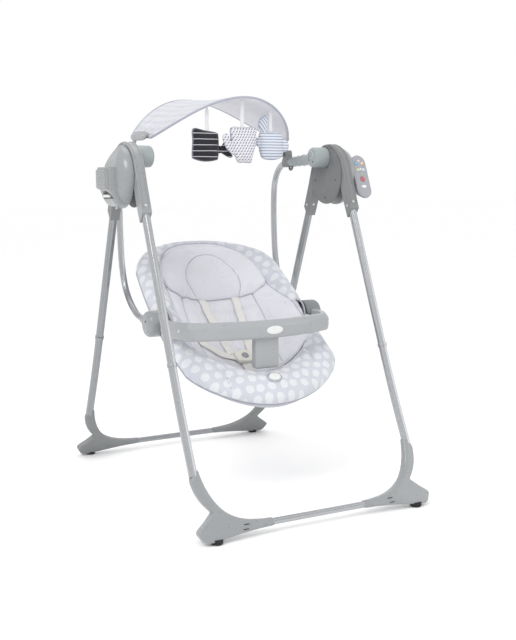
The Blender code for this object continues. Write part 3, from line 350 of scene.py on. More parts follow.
look |= {
    "tube": metal("tube_metal", (0.44, 0.45, 0.465), 0.24),
    # A darker copy of the tube metal for the rear frame: painted shade.
    "tube_painted_shade": metal("tube_painted_shade", (0.33, 0.34, 0.35), 0.27),
    "steel": solid_metal("steel", (0.52, 0.53, 0.55)),
    "screw": solid_metal("screw_steel", (0.62, 0.62, 0.63), 0.25),
    "copper": solid_metal("copper", (0.75, 0.38, 0.16)),
    "rubber": rubber("black_rubber", (0.014, 0.014, 0.016)),
    "seat": seat_cloth("seat_cloth", LAVENDER, WHITE),
    "print": printed_cloth("printed_cloth", SHADED_LAVENDER, SHADED_WHITE),
    "plain": plain_cloth("plain_cloth", PALE), "binding": plain_cloth("binding_cloth", (0.53, 0.535, 0.595)),
    # Near-black cloth for the line of painted shadow under the crotch strip.
    "edge": plain_cloth("painted_shadow_cloth", (0.2, 0.2, 0.24)),
    "piping": plain_cloth("piping_cloth", (0.62, 0.62, 0.67)),
    "webbing": webbing("webbing", (0.74, 0.73, 0.7)),
    "ribbon": webbing("ribbon", (0.72, 0.72, 0.75)),
    "toy_block": striped_cloth("striped_dark", (0.014, 0.014, 0.019), (0.6, 0.6, 0.64), 0.0148, 0.0016),
    "toy_elephant": dashed_cloth("dashed_white", (0.7, 0.7, 0.74), (0.17, 0.17, 0.23), 0.0082),
    "toy_fish": striped_cloth("striped_white", (0.66, 0.69, 0.74), (0.25, 0.29, 0.42), 0.0074, 0.0024),
}


# ---------------------------------------------------------------- mesh helpers

def piece(name, points, faces, material, body, replaces=(), uv=None, smooth=38, attributes=None):
    """A mesh piece in world coordinates that rides a body."""
    mesh = bpy.data.meshes.new(name)
    mesh.from_pydata([tuple(p) for p in points], [], [tuple(f) for f in faces])
    if uv is not None:
        layer = mesh.uv_layers.new(name="UVMap")
        corner = np.zeros(len(mesh.loops), dtype=np.int32)
        mesh.loops.foreach_get("vertex_index", corner)
        layer.data.foreach_set("uv", np.asarray(uv, float)[corner].ravel())
    for key, values in (attributes or {}).items():
        mesh.attributes.new(key, "FLOAT", "POINT").data.foreach_set("value", np.asarray(values, float))
    bm = bmesh.new()
    bm.from_mesh(mesh)
    bmesh.ops.recalc_face_normals(bm, faces=bm.faces)
    if bm.calc_volume(signed=True) < 0:
        bmesh.ops.reverse_faces(bm, faces=bm.faces)
    bm.to_mesh(mesh)
    bm.free()
    mesh.shade_smooth()
    mesh.set_sharp_from_angle(angle=radians(smooth))
    mesh.materials.append(look[material] if isinstance(material, str) else material)
    made = bpy.data.objects.new(name, mesh)
    bpy.context.scene.collection.objects.link(made)
    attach(made, body)
    if replaces:
        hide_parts(*([replaces] if isinstance(replaces, str) else replaces))
    return made


def skin(rings, closed=False):
    """Points, faces and UVs (metres round and along) of a skin over rings of equal count."""
    rings = np.asarray(rings, float)
    rows, count = rings.shape[:2]
    points = rings.reshape(-1, 3)
    faces = []
    for i in range(rows if closed else rows - 1):
        a, b = i * count, ((i + 1) % rows) * count
        faces += [(a + j, a + (j + 1) % count, b + (j + 1) % count, b + j) for j in range(count)]
    if not closed:
        faces += [tuple(range(count)), tuple((rows - 1) * count + j for j in range(count))]
    round_it = np.linalg.norm(np.diff(rings, axis=1, prepend=rings[:, :1]), axis=2).cumsum(1).mean(0)
    along = np.linalg.norm(np.diff(rings, axis=0, prepend=rings[:1]), axis=2).mean(1).cumsum()
    uv = np.stack([np.tile(round_it, rows), np.repeat(along, count)], 1)
    return points, faces, uv


def tube_rings(route, section, up=(1, 0, 0), scale=None, closed=False):
    """A section of (across, high) points carried along a route; scale gives each ring's size."""
    route = [Vector(p) for p in route]
    up, rings, last = Vector(up), [], len(route) - 1
    for i, here in enumerate(route):
        before = route[i - 1] if i or closed else here
        after = route[(i + 1) % len(route)] if i < last or closed else here
        ahead = (after - before).normalized()
        side = ahead.cross(up).normalized()
        top = side.cross(ahead)
        k = scale[i] if scale else 1.0
        rings.append([here + side * a * k + top * b * k for a, b in section])
    return rings


def full_turn(steps):
    """Evenly spaced angles of one turn."""
    return [2 * pi * i / steps for i in range(steps)]


def circle(radius, steps=32, height=None):
    """A circle of (x, y) points, or an ellipse if it has a height of its own."""
    return [(radius * cos(a), (height or radius) * sin(a)) for a in full_turn(steps)]


def grooved(radius, steps=72, depth=0.0011):
    """A tube section with a shallow pressed groove on each of four sides."""
    points = []
    for a in full_turn(steps):
        off = min(abs((a - m + pi) % (2 * pi) - pi) for m in (0.62, 2.52, 3.76, 5.66))
        r = radius - depth * max(0.0, 1 - (off / 0.13) ** 2)
        points.append((r * cos(a), r * sin(a)))
    return points


def turned(profile, centre=(0.0, 0.0), steps=64, side=1):
    """Rings of a profile of (x, radius) points about an X axis through centre = (y, z)."""
    return [[Vector((side * x, centre[0] + y, centre[1] + z)) for y, z in circle(r, steps)]
            for x, r in profile]


def upright(profile, place, steps=40):
    """A profile of (height, radius) points about the Z axis of a place."""
    return [[place @ Vector((x, y, z)) for x, y in circle(r, steps)] for z, r in profile]


def oval_rings(place, profile, wide, deep, steps=64):
    """An oval button: (height, share) points of an ellipse about the Z axis of a place."""
    return [[place @ Vector((x * k, y * k, z)) for x, y in circle(wide, steps, deep)] for z, k in profile]


def oval_loop(place, wide, deep, steps, height=0.0):
    """An oval line in a plane of a placement."""
    return [place @ Vector((x, y, height)) for x, y in circle(wide, steps, deep)]


def spline(points, per_span=6, closed=False):
    """A smooth curve through points of any dimension."""
    pts = [np.asarray(p, float) for p in points]
    ring = [pts[-1], *pts, pts[0], pts[1]] if closed else [2 * pts[0] - pts[1], *pts, 2 * pts[-1] - pts[-2]]
    out = []
    for a, b, c, d in zip(ring, ring[1:], ring[2:], ring[3:]):
        for i in range(per_span):
            t = i / per_span
            out.append(0.5 * (2 * b + (c - a) * t + (2 * a - 5 * b + 4 * c - d) * t * t
                              + (3 * b - a - 3 * c + d) * t ** 3))
    return out if closed else out + [pts[-1]]


def arc(centre, radius, start, end, steps):
    """Points on an arc, with its angles in degrees."""
    angles = (radians(start + (end - start) * i / steps) for i in range(steps + 1))
    return [(centre[0] + radius * cos(a), centre[1] + radius * sin(a)) for a in angles]


def bevelled(made, width, segments, angle=35, harden=False):
    """Rounds the edges of a moulding."""
    step = made.modifiers.new("Rounded edges", "BEVEL")
    step.width, step.segments, step.limit_method, step.angle_limit = width, segments, "ANGLE", radians(angle)
    step.harden_normals = harden


def slab(outline, low, high, place, soft=0.002, steps=3):
    """Rings of a plate with rounded edges: an (x, y) outline between two heights in a place's own axes."""
    outline = np.asarray(outline, float)
    ahead = np.roll(outline, -1, 0) - np.roll(outline, 1, 0)
    inward = np.stack([-ahead[:, 1], ahead[:, 0]], 1) / np.linalg.norm(ahead, axis=1)[:, None]
    area = np.sum(outline[:, 0] * np.roll(outline[:, 1], -1) - np.roll(outline[:, 0], -1) * outline[:, 1])
    inward *= 1 if area > 0 else -1
    edge = [(soft * (1 - sin(a)), soft * (1 - cos(a)))
            for a in (i * pi / 2 / steps for i in range(steps + 1))]
    levels = [(low + up, into) for up, into in edge[::-1]] + [(high - down, into) for down, into in edge]
    return [[place @ Vector((x, y, z)) for x, y in outline + inward * into] for z, into in levels]


def show(name, rings, material, body, replaces=(), smooth=38, closed=False):
    """A skin over rings as a piece."""
    points, faces, uv = skin(rings, closed)
    return piece(name, points, faces, material, body, replaces, uv, smooth)


def hoop(name, loop, section, material, body, replaces=(), up=(1, 0, 0)):
    """A section carried round a closed loop, as a piece."""
    rings = tube_rings(loop, section, up=up, closed=True)
    return show(name, rings, material, body, replaces, closed=True)


def seamless(made):
    """Marks a piece as far from any seam, so that its cloth gets no painted crease shade."""
    marks = made.data.attributes.new("seam", "FLOAT", "POINT")
    marks.data.foreach_set("value", [0.03] * len(made.data.vertices))


def cut(made, rings):
    """Cuts a shape out of a piece and leaves the result in its mesh."""
    points, faces, _ = skin(rings)
    mesh = bpy.data.meshes.new("cutter")
    mesh.from_pydata([tuple(p) for p in points], [], faces)
    bm = bmesh.new()
    bm.from_mesh(mesh)
    bmesh.ops.recalc_face_normals(bm, faces=bm.faces)
    bm.to_mesh(mesh)
    bm.free()
    knife = bpy.data.objects.new("cutter", mesh)
    bpy.context.scene.collection.objects.link(knife)
    step = made.modifiers.new("Cut", "BOOLEAN")
    step.operation, step.object, step.solver = "DIFFERENCE", knife, "EXACT"
    baked(made)
    bpy.data.objects.remove(knife)
    made.data.shade_smooth()
    made.data.set_sharp_from_angle(angle=radians(38))


def baked(made):
    """Applies a piece's modifiers to its mesh."""
    graph = bpy.context.evaluated_depsgraph_get()
    result = bpy.data.meshes.new_from_object(made.evaluated_get(graph))
    made.modifiers.clear()
    made.data = result


def puff(made, cap, held, pressure=4.0, frames=14, spare=-0.012):
    """Swells a padded piece as cloth: held is how firmly each point stays, cap how far one moves at most."""
    mesh = made.data
    rest = np.zeros(len(mesh.vertices) * 3)
    mesh.vertices.foreach_get("co", rest)
    group = made.vertex_groups.new(name="held")
    for level in range(1, 11):
        chosen = [i for i, value in enumerate(held) if round(value * 10) == level]
        group.add(chosen, level / 10, "REPLACE")
    cloth = made.modifiers.new("Puff", "CLOTH")
    cloth.collision_settings.use_collision = False
    settings = cloth.settings
    settings.vertex_group_mass = "held"
    settings.use_pressure, settings.uniform_pressure_force = True, pressure
    settings.effector_weights.gravity = 0.0
    settings.shrink_min = spare
    cloth.point_cache.frame_start, cloth.point_cache.frame_end = 1, frames
    for step in range(1, frames + 1):
        bpy.context.scene.frame_set(step)
    swollen = np.zeros_like(rest)
    made.evaluated_get(bpy.context.evaluated_depsgraph_get()).data.vertices.foreach_get("co", swollen)
    made.modifiers.clear()
    bpy.context.scene.frame_set(1)
    move = (swollen - rest).reshape(-1, 3)
    length = np.linalg.norm(move, axis=1)
    move *= (np.minimum(length, cap * np.tanh(length / cap)) / np.maximum(length, 1e-9))[:, None]
    move *= (1 - np.asarray(held, float))[:, None]
    mesh.vertices.foreach_set("co", (rest.reshape(-1, 3) + move).ravel())
    mesh.update()


def screw(name, place, radius, body):
    """A cross-head screw whose face looks along the place's Z axis."""
    profile = [(-0.001, radius), (0.0004, radius), (0.0009, radius * 0.86), (0.0011, radius * 0.5),
               (0.0011, radius * 0.22), (0.0004, radius * 0.18)]
    show(name, upright(profile, place, 24), "screw", body)


def facing(place, direction, up=(0, 0, 1)):
    """A frame at a place whose Z axis looks along a direction."""
    z = Vector(direction).normalized()
    x = Vector(up).cross(z).normalized()
    turn = Matrix((x, z.cross(x), z)).transposed().to_4x4()
    return Matrix.Translation(place) @ turn


# ---------------------------------------------------------------- frames

def leg_y(z):
    """How far from the axle, along Y, a leg's middle line is at a height."""
    drop = KNEE_Z - z
    return KNEE_Y + 0.416 * drop + (0.2 * drop * drop if drop > 0 else 0.0)


def leg_frame(side, front, z):
    """A place on a leg's middle line: X outwards, Y away from the swing's middle, Z up the leg."""
    ahead = Vector((0, front * (leg_y(z + 0.001) - leg_y(z - 0.001)), 0.002)).normalized()
    out = Vector((0, ahead.z * front, -ahead.y * front))
    turn = Matrix((Vector((1, 0, 0)), out, ahead)).transposed().to_4x4()
    return Matrix.Translation((side * LEG_X, front * leg_y(z), z)) @ turn


def resampled(line, count):
    """Points at even steps along a line."""
    line = np.asarray(line, float)
    run = np.concatenate([[0], np.cumsum(np.linalg.norm(np.diff(line, axis=0), axis=1))])
    spots = np.linspace(0, run[-1], count)
    return np.stack([np.interp(spots, run, line[:, k]) for k in range(line.shape[1])], 1)


def foot_lines():
    """Stations along the foot moulding as (outer, inner) points of (x, z), from the leg to the base tube."""
    outer_leg, inner_leg = LEG_X + 0.0118, LEG_X - 0.0122
    parts = ((spline([(outer_leg - 0.0005, CORNER_Z - 0.015), (outer_leg - 0.001, 0.124),
                      (outer_leg - 0.007, 0.1025), (outer_leg - 0.0185, 0.082),
                      (0.2725, 0.0625)], 6), 26, 0.38),
             ([(0.2725, 0.0625), (0.2745, 0.0592), (0.296, 0.0425), (0.3118, 0.0322)], 12, 0.45),
             ([(0.3118, 0.0322), (0.315, 0.0295), (0.3162, 0.0262), (0.3152, 0.0225), (0.3078, 0.0112),
               (0.3045, 0.0078), (0.299, 0.0056)], 14, 0.51),
             ([(0.299, 0.0056), (0.285, 0.0048), (0.268, 0.0068)], 8, 0.58),
             (spline([(0.268, 0.0068), (0.24, 0.0096), (0.205, 0.0132), (0.165, 0.0158), (BASE_END, 0.0168)],
                     5),
              26, 1.0))
    hollow = resampled(spline([(inner_leg, CORNER_Z + 0.003), (0.28, 0.13), (0.2735, 0.109), (0.262, 0.086),
                               (0.244, 0.064), (0.219, 0.0485), (0.187, 0.0385), (0.15, 0.034),
                               (BASE_END, 0.0332)], 8), 401)
    stations, share = [], 0.0
    for line, count, to_share in parts:
        outer = resampled(line, count)
        for point, at in zip(outer, np.linspace(share, to_share, count)):
            stations.append((point, hollow[int(round(at * 400))], at))
        share = to_share
    return stations


def rounded_section(wide, deep, radius):
    """A rounded rectangle of (across, deep) points, with extra points along its broad sides."""
    radius = min(radius, 0.97 * wide, 0.97 * deep)
    points = []
    for start, (cx, cy) in enumerate(((wide - radius, deep - radius), (radius - wide, deep - radius),
                                      (radius - wide, radius - deep), (wide - radius, radius - deep))):
        points += arc((cx, cy), radius, start * 90, start * 90 + 90, 6)
        if start % 2 == 0:
            side = 1 if start == 0 else -1
            points += [(side * (wide - radius) * (1 - 2 * i / 7), side * deep) for i in range(1, 7)]
    return points


FOOT_DEEP = 0.013


def slope(z):
    """How far the frame's plane leans from upright at a height, as an angle."""
    return atan2(leg_y(z - 0.001) - leg_y(z + 0.001), 0.002)


def legs(word, front, body):
    """One U-shaped frame: leg tubes with a collar, foot mouldings on rubber pads, and the base rail."""
    # The rear frame takes the darker copies of the grey plastic and the tube metal: painted shade.
    material, tube = {-1: ("grey", "tube"), 1: ("rear", "tube_painted_shade")}[front]
    for side, hand in SIDES:
        heights = np.linspace(SOCKET_Z + 0.004, CORNER_Z - 0.012, 34)
        route = [Vector((side * LEG_X, front * leg_y(z), z)) for z in heights]
        show(f"{word}_leg_tube_{hand}", tube_rings(route, grooved(LEG_R)), tube, body, f"{word}_leg_{hand}")
        ring = upright([(-0.0045, 0.0106), (-0.004, 0.0122), (0.004, 0.0122), (0.0045, 0.0106)],
                       leg_frame(side, front, KNEE_Z), 48)
        show(f"{word}_collar_{hand}", ring, tube, body)

        rows = []
        stations = foot_lines()
        for i, (outer_point, inner_point, share) in enumerate(stations):
            middle, across = (outer_point + inner_point) / 2, (outer_point - inner_point) / 2
            wide = np.linalg.norm(across)
            deep = np.interp(share, (0, 0.25, 0.6, 1), (0.0118, FOOT_DEEP, FOOT_DEEP, 0.01))
            soft = np.interp(share, (0, 0.3, 0.5, 0.7, 1), (0.0095, 0.007, 0.0046, 0.006, 0.007))
            end = 0.9 if i in (0, len(stations) - 1) else 1.0
            ring = []
            for a, b in rounded_section(wide * end, deep * end, soft):
                x, z = middle + across * (a / wide)
                lean = slope(z)
                ring.append(Vector((side * x, front * (leg_y(z) + b * cos(lean)), z + b * sin(lean) * 0.35)))
            rows.append(ring)
        show(f"{word}_foot_moulding_{hand}", rows, material, body, f"{word}_foot_{hand}", 40)
        # Black slits on the foot's face: painted shade in its recessed lines.
        for i, (x, z) in enumerate(((0.197, 0.03), (0.201, 0.0205))):
            y = front * (leg_y(z) + FOOT_DEEP * cos(slope(z)) + 0.0002)
            high = z + FOOT_DEEP * sin(slope(z)) * 0.35
            slit = [Vector((side * (x + a), y, high)) for a in (-0.0065, 0, 0.0065)]
            show(f"{word}_foot_slit_{hand}_{i}", tube_rings(slit, circle(0.0009, 10), up=(0, 0, 1)), "black_and_hole_shade",
                 body)
        pad = [(0.0, 0.0105), (0.001, 0.0132), (0.003, 0.0144), (0.012, 0.0144)]
        rings = upright(pad, Matrix.Translation((side * PAD_X, front * PAD_Y, 0)), 48)
        show(f"{word}_rubber_pad_{hand}", rings, "rubber", body, f"{word}_pad_{hand}")
    base = [Vector((x, front * leg_y(BASE_Z), BASE_Z))
            for x in np.linspace(-BASE_END - 0.004, BASE_END + 0.004, 9)]
    show(f"{word}_base_rail", tube_rings(base, grooved(BASE_R), up=(0, 0, 1)), tube, body,
         f"{word}_base_tube")


def leg_head(word, side, hand, front, body):
    """The band round the housing and the arm down to the socket, as one section swept along its curve."""
    centre, half = side * (HEAD_IN + HEAD_OUT) / 2, (HEAD_OUT - HEAD_IN) / 2

    def on_leg(z, off):
        return (leg_y(z) + off * cos(LEG_LEAN), z + off * sin(LEG_LEAN))

    outer = [(abs(y), z) for y, z in arc((0, HUB_Z), 0.085, 89.2, 18, 26)]
    inner = [(abs(y), z) for y, z in arc((0, HUB_Z), 0.0665, -4, 89.2, 30)]
    outer_side = [on_leg(*p) for p in ((0.788, 0.0152), (0.76, 0.0148), (0.74, 0.0142),
                                       (HEAD_TIP_FRONT, 0.014))]
    rest = [on_leg(*p) for p in ((HEAD_TIP_FRONT - 0.001, 0.0128), (HEAD_TIP_FRONT - 0.0016, 0.0105),
                                 (HEAD_TIP_BACK + 0.0004, -0.011), (HEAD_TIP_BACK + 0.0012, -0.0132),
                                 (0.73, -0.0141), (0.775, -0.0148))]
    outline = outer + spline(outer_side, 4) + rest + inner
    rings = [[Vector((x, front * y, z)) for y, z in outline]
             for x in sorted((side * HEAD_IN, side * HEAD_OUT))]
    # The right-hand heads and the rear left head take darker copies of the grey plastic: painted shade.
    material = {(-1, -1): "grey", (-1, 1): "shaded", (1, -1): "rear", (1, 1): "shaded"}[front, side]
    head = show(f"{word}_leg_head_{hand}", rings, material, body, f"{word}_head_{hand}", 40)
    bevelled(head, 0.0026, 4, 50, harden=True)

    # Two bead lines along the band's outer face and edge
    bead = arc((0, HUB_Z), 0.0853, 88, 22, 26)
    bead += spline([on_leg(0.786, 0.0156), on_leg(0.76, 0.0152), on_leg(0.738, 0.0146)], 4)
    for i, x in enumerate((half - 0.0052, 0.0052 - half)):
        route = [Vector((centre + side * x, front * y, z)) for y, z in bead]
        show(f"{word}_band_line_{hand}_{i}", tube_rings(route, circle(0.0012, 12)), material, body)
    # The screws through the socket
    socket = leg_frame(side, front, SOCKET_Z)
    for i, face in enumerate((1, -1)):
        spot, direction = socket @ Vector((0, 0.014 * face, 0)), socket.to_3x3() @ Vector((0, face, 0))
        screw(f"{word}_socket_screw_{hand}_{i}", facing(spot, direction, (1, 0, 0)), 0.0034, body)
    cheek = leg_frame(side, front, 0.736) @ Vector((-side * 0.0128, 0, 0))
    screw(f"{word}_cheek_screw_{hand}", facing(cheek, (-side, 0, 0)), 0.004, body)


for word, front, body in (("front", -1, "front_frame"), ("rear", 1, "rear_frame")):
    legs(word, front, body)
    for side, hand in SIDES:
        leg_head(word, side, hand, front, body)


# ---------------------------------------------------------------- hubs

def dome_profile():
    """The housing's outer half section: straight rim, then a superellipse to the middle of the outer face."""
    points = [(SHELL_IN, HUB_R - 0.0012), (SHELL_IN + 0.001, HUB_R)]
    for i in range(1, 25):
        a = i / 24 * pi / 2
        x = SHELL_IN + 0.001 + (SHELL_OUT + 0.0035 - SHELL_IN - 0.001) * sin(a) ** (2 / 2.5)
        points.append((x, HUB_R * cos(a) ** (2 / 2.5) + 0.0002))
    return points


def inner_plate(side, hand):
    """The dark plate on the hub's inner face, with a ring round the axle and three rivets."""
    plate = [(PLATE_IN, 0.0285), (PLATE_IN, HUB_R - 0.0045), (PLATE_IN + 0.0012, HUB_R - 0.0018),
             (PLATE_IN + 0.0042, HUB_R - 0.0012)]
    show(f"inner_plate_{hand}", turned(plate, (0, HUB_Z), 96, side), "dark", "front_frame",
         f"hub_plate_{hand}")
    ring = [(PLATE_IN - 0.001, 0.0308), (PLATE_IN - 0.0014, 0.033), (PLATE_IN - 0.0004, 0.0344),
            (PLATE_IN + 0.0006, 0.0346)]
    show(f"axle_ring_{hand}", turned(ring, (0, AXLE_Z), 72, side), "dark", "front_frame")
    for i, (y, z) in enumerate(((-0.052, HUB_Z - 0.012), (0.052, HUB_Z - 0.012), (0.0, HUB_Z - 0.06))):
        spot = facing(Vector((side * (PLATE_IN - 0.0002), y, z)), (-side, 0, 0))
        rings = upright([(-0.001, 0.0022), (0.0004, 0.002), (0.0006, 0.0008)], spot, 20)
        show(f"plate_rivet_{hand}_{i}", rings, "black_and_hole_shade", "front_frame")


for side, hand in SIDES:
    inner_plate(side, hand)

BOX_ROUND, BOX_EDGE = 0.03, 0.0405     # where the box's outer face starts to turn back, and where it ends
OUTSIDE = -0.385                         # beyond the left hub's outermost point


def clamped(value):
    """The value held between 0 and 1."""
    return min(1.0, max(0.0, value))


def sqrt_safe(value):
    """A square root that takes a value just below zero as zero."""
    return max(0.0, value) ** 0.5


def box_turn(y):
    """How far the box's outer face turns back towards its front and rear edges."""
    return 0.009 * (1 - sqrt_safe(1 - clamped((abs(y) - BOX_ROUND) / (BOX_EDGE - BOX_ROUND)) ** 2))


def arch_cut():
    """The space above the box's ledge: a hollow face that leans back to the dome's top and out behind."""
    rings = []
    for z in np.linspace(BOX_TOP, 0.9, 21):
        half = BOX_EDGE * sqrt_safe(max(0.16, 1 - ((z - BOX_TOP) / 0.064) ** 2.4))
        middle = np.interp(z, (BOX_TOP, 0.858, 0.872, 0.884, 0.9), (0.3375, 0.329, 0.3215, 0.316, 0.312))
        face = [Vector((-middle - 0.005 * (min(0.0, y) / half) ** 2, y, z))
                for y in (*np.linspace(-half, 0, 14), 0.09)]
        rings.append(face + [Vector((-0.4, 0.09, z)), Vector((-0.4, -half, z))])
    return rings


def box_rings():
    """Battery box: sections across Y, with a flat ledge, rounded edges and a foot that meets the dome's."""
    rings = []
    for y in np.linspace(-BOX_EDGE, BOX_EDGE, 45):
        turn = box_turn(y)
        reach = SIDE_REACH - 0.005 - turn
        bottom = HUB_Z - (HUB_R ** 2 - y * y) ** 0.5 + 0.0004
        outline = [(0.315, BOX_TOP), (0.33, BOX_TOP), (reach - 0.0015, BOX_TOP), (reach, BOX_TOP - 0.0015),
                   (reach, BOX_LOW + 0.0015), (reach - 0.0015, BOX_LOW)]
        foot = ((0.3605, BOX_LOW - 0.0004), (0.3562, 0.774), (0.3506, 0.76), (0.343, 0.749), (0.334, 0.7428),
                (0.324, 0.7402))
        outline += [(x - turn * 0.85, max(z, bottom)) for x, z in foot] + [(0.315, max(0.74, bottom))]
        rings.append([Vector((-x, y, z)) for x, z in outline])
    return rings


def battery_box():
    """The left housing and its box, with the battery well behind the door and the thumb recess below it."""
    housing = show("housing_left", turned(dome_profile(), (0, HUB_Z), 112, -1), "grey", "front_frame", (),
                   50)
    box = show("battery_box", box_rings(), "grey", "front_frame", "hub_shell_left", 32)
    corners = ((-0.032, 0.7905), (0.032, 0.7905), (0.032, 0.834), (-0.032, 0.834))
    well = [[Vector((x, y, z)) for y, z in corners] for x in (-0.322, OUTSIDE)]
    recess = [(-0.003 + 0.0345 * a, 0.7625 + 0.019 * b) for a, b in arc((0, 0), 1.0, 0, 180, 32)]
    cut(box, [[Vector((x, y, z)) for y, z in recess] for x in (OUTSIDE, -0.344)])
    bevelled(box, 0.0012, 3, 38)
    baked(box)
    cut(box, well)
    cut(housing, arch_cut())
    cut(housing, well)


def door():
    """Ribbed door: fine level ridges across a plate that turns back at both ends."""
    low, high, count = BOX_LOW + 0.003, BOX_TOP - 0.0064, 10
    pitch = (high - low) / count
    outline = [(0.0044, low), (0.0044, high), (0.0014, high)]
    for i in range(count - 1, -1, -1):
        for share, out in ((0.92, 0.0014), (0.8, 0.0005), (0.62, 0.0001), (0.44, 0.0005), (0.32, 0.0014)):
            outline.append((out, low + pitch * (i + share)))
    outline.append((0.0014, low))
    half = 0.0385
    rings = []
    for y in np.linspace(-half, half, 47):
        last = 0.001 if abs(y) > half - 0.0005 else 0.0
        rings.append([Vector((-SIDE_REACH + min(0.0044, x + last) + box_turn(y), y, z)) for x, z in outline])
    return rings


battery_box()
show("ribbed_door", door(), "grey", "door", "battery_door", 30)
outline = arc((0.0175, 0.769), 0.0035, -90, 90, 6) + arc((-0.0175, 0.769), 0.0035, 90, 270, 6)
latch = slab(outline, 0.0, 0.008, Matrix(((0, 0, -1, -0.349), (1, 0, 0, 0), (0, 1, 0, 0), (0, 0, 0, 1))),
             0.0012)
show("door_latch", latch, "white_part", "latch", "battery_latch")


POD_LOW = 0.008      # the cover reaches a little lower than the pod's block
KEYS = {"power": (0.0, -0.013, 0.0072, "key_red"), "melody": (-0.0095, 0.033, 0.0048, "key_blue"),
        "nature": (0.009, 0.0335, 0.0048, "key_orange"), "volume": (-0.0075, 0.014, 0.0048, "key_yellow"),
        "timer": (0.009, 0.0145, 0.0048, "key_pale")}     # (across, along, radius, slot)


def pod_place(across=0.0, along=0.0):
    """A frame on the pod's face: X across, Y up along it and Z out of it."""
    up = Vector((0, sin(POD_LEAN), cos(POD_LEAN)))
    ahead = Vector((0, -cos(POD_LEAN), sin(POD_LEAN)))
    turn = Matrix((Vector((1, 0, 0)), up, ahead)).transposed().to_4x4()
    return Matrix.Translation(POD_CENTRE) @ turn @ Matrix.Translation((across, along, 0))


def capsule(place, length, half, out):
    """A capsule outline in a plane of a placement."""
    line = arc((0, length / 2 - half), half, 0, 180, 20) + arc((0, -length / 2 + half), half, 180, 360, 20)
    return [place @ Vector((a, b, out)) for a, b in line]


def pod():
    """The control pod: a capsule block with a round back edge, a seam line and a domed face with keys."""
    rings = []
    for out, half in ((-0.0435, 0.015), (-0.0425, 0.0185), (-0.039, 0.021), (-0.032, 0.0222),
                      (-0.02, POD_HALF), (-0.0062, POD_HALF), (-0.0045, POD_HALF),
                      (-0.004, POD_HALF - 0.0014), (-0.0032, POD_HALF - 0.0014)):
        short = 0.026 * clamped((-out - 0.006) / 0.034)    # the underside slopes up to the back
        length = POD_LENGTH + POD_LOW - 2 * (POD_HALF - half) - short
        rings.append(capsule(pod_place(0.0, (short - POD_LOW) / 2), length, half, out))
    show("control_pod", rings, "pod", "front_frame", (), 40)
    face = []
    for into, out in ((0.0008, -0.0036), (0.0002, -0.0026), (0.0003, -0.0012), (0.0016, 0.0), (0.006, 0.0008),
                      (0.012, 0.0013), (0.02, 0.0015)):
        length = POD_LENGTH + POD_LOW - 2 * into
        face.append(capsule(pod_place(0.0, -POD_LOW / 2), length, POD_HALF - into, out))
    panel = show("pod_face", face, "pod", "front_frame", "control_panel", 40)
    # The pod's neck runs back into the housing
    neck = [capsule(pod_place(across, up), length, half, out) for out, half, length, up, across in (
        (-0.038, 0.0178, 0.078, 0.013, 0.0012), (-0.048, 0.015, 0.064, 0.014, -0.0008),
        (-0.056, 0.009, 0.044, 0.013, -0.0066))]
    show("pod_neck", neck, "grey", "front_frame", (), 45)
    for key, (across, along, radius, slot) in KEYS.items():
        place = pod_place(across, along)
        cut(panel, upright([(-0.004, radius + 0.0005), (0.004, radius + 0.0005)], place))
        cap = [(-0.0016, radius), (0.0014, radius), (0.0022, radius * 0.93), (0.0027, radius * 0.75),
               (0.003, radius * 0.35)]
        show(f"{key}_key_cap", upright(cap, place), f"key_{key}", f"{key}_key", f"button_{key}")
    light = [(0.0006, 0.0018), (0.002, 0.0018), (0.0026, 0.0012)]
    show("pod_light", upright(light, pod_place(0.001, -0.001), 20), "green", "front_frame")
    for name, across, along, radius, colour in (("centre", 0.0005, 0.0165, 0.003, "white_part"),
                                                ("upper", -0.0005, 0.04, 0.0036, "key_upper")):
        cap = [(0.0005, radius), (0.002, radius), (0.0026, radius * 0.7)]
        show(f"pod_{name}_key", upright(cap, pod_place(across, along), 24), colour, "front_frame")
    oval = oval_rings(pod_place(0, -0.0345), ((0.0005, 1.0), (0.0016, 1.0), (0.0019, 0.9)), 0.0078, 0.004, 32)
    show("pod_badge", oval, "white_part", "front_frame")


show("housing_right", turned(dome_profile(), (0, HUB_Z), 112, 1), "grey", "front_frame", "hub_shell_right",
     50)
pod()


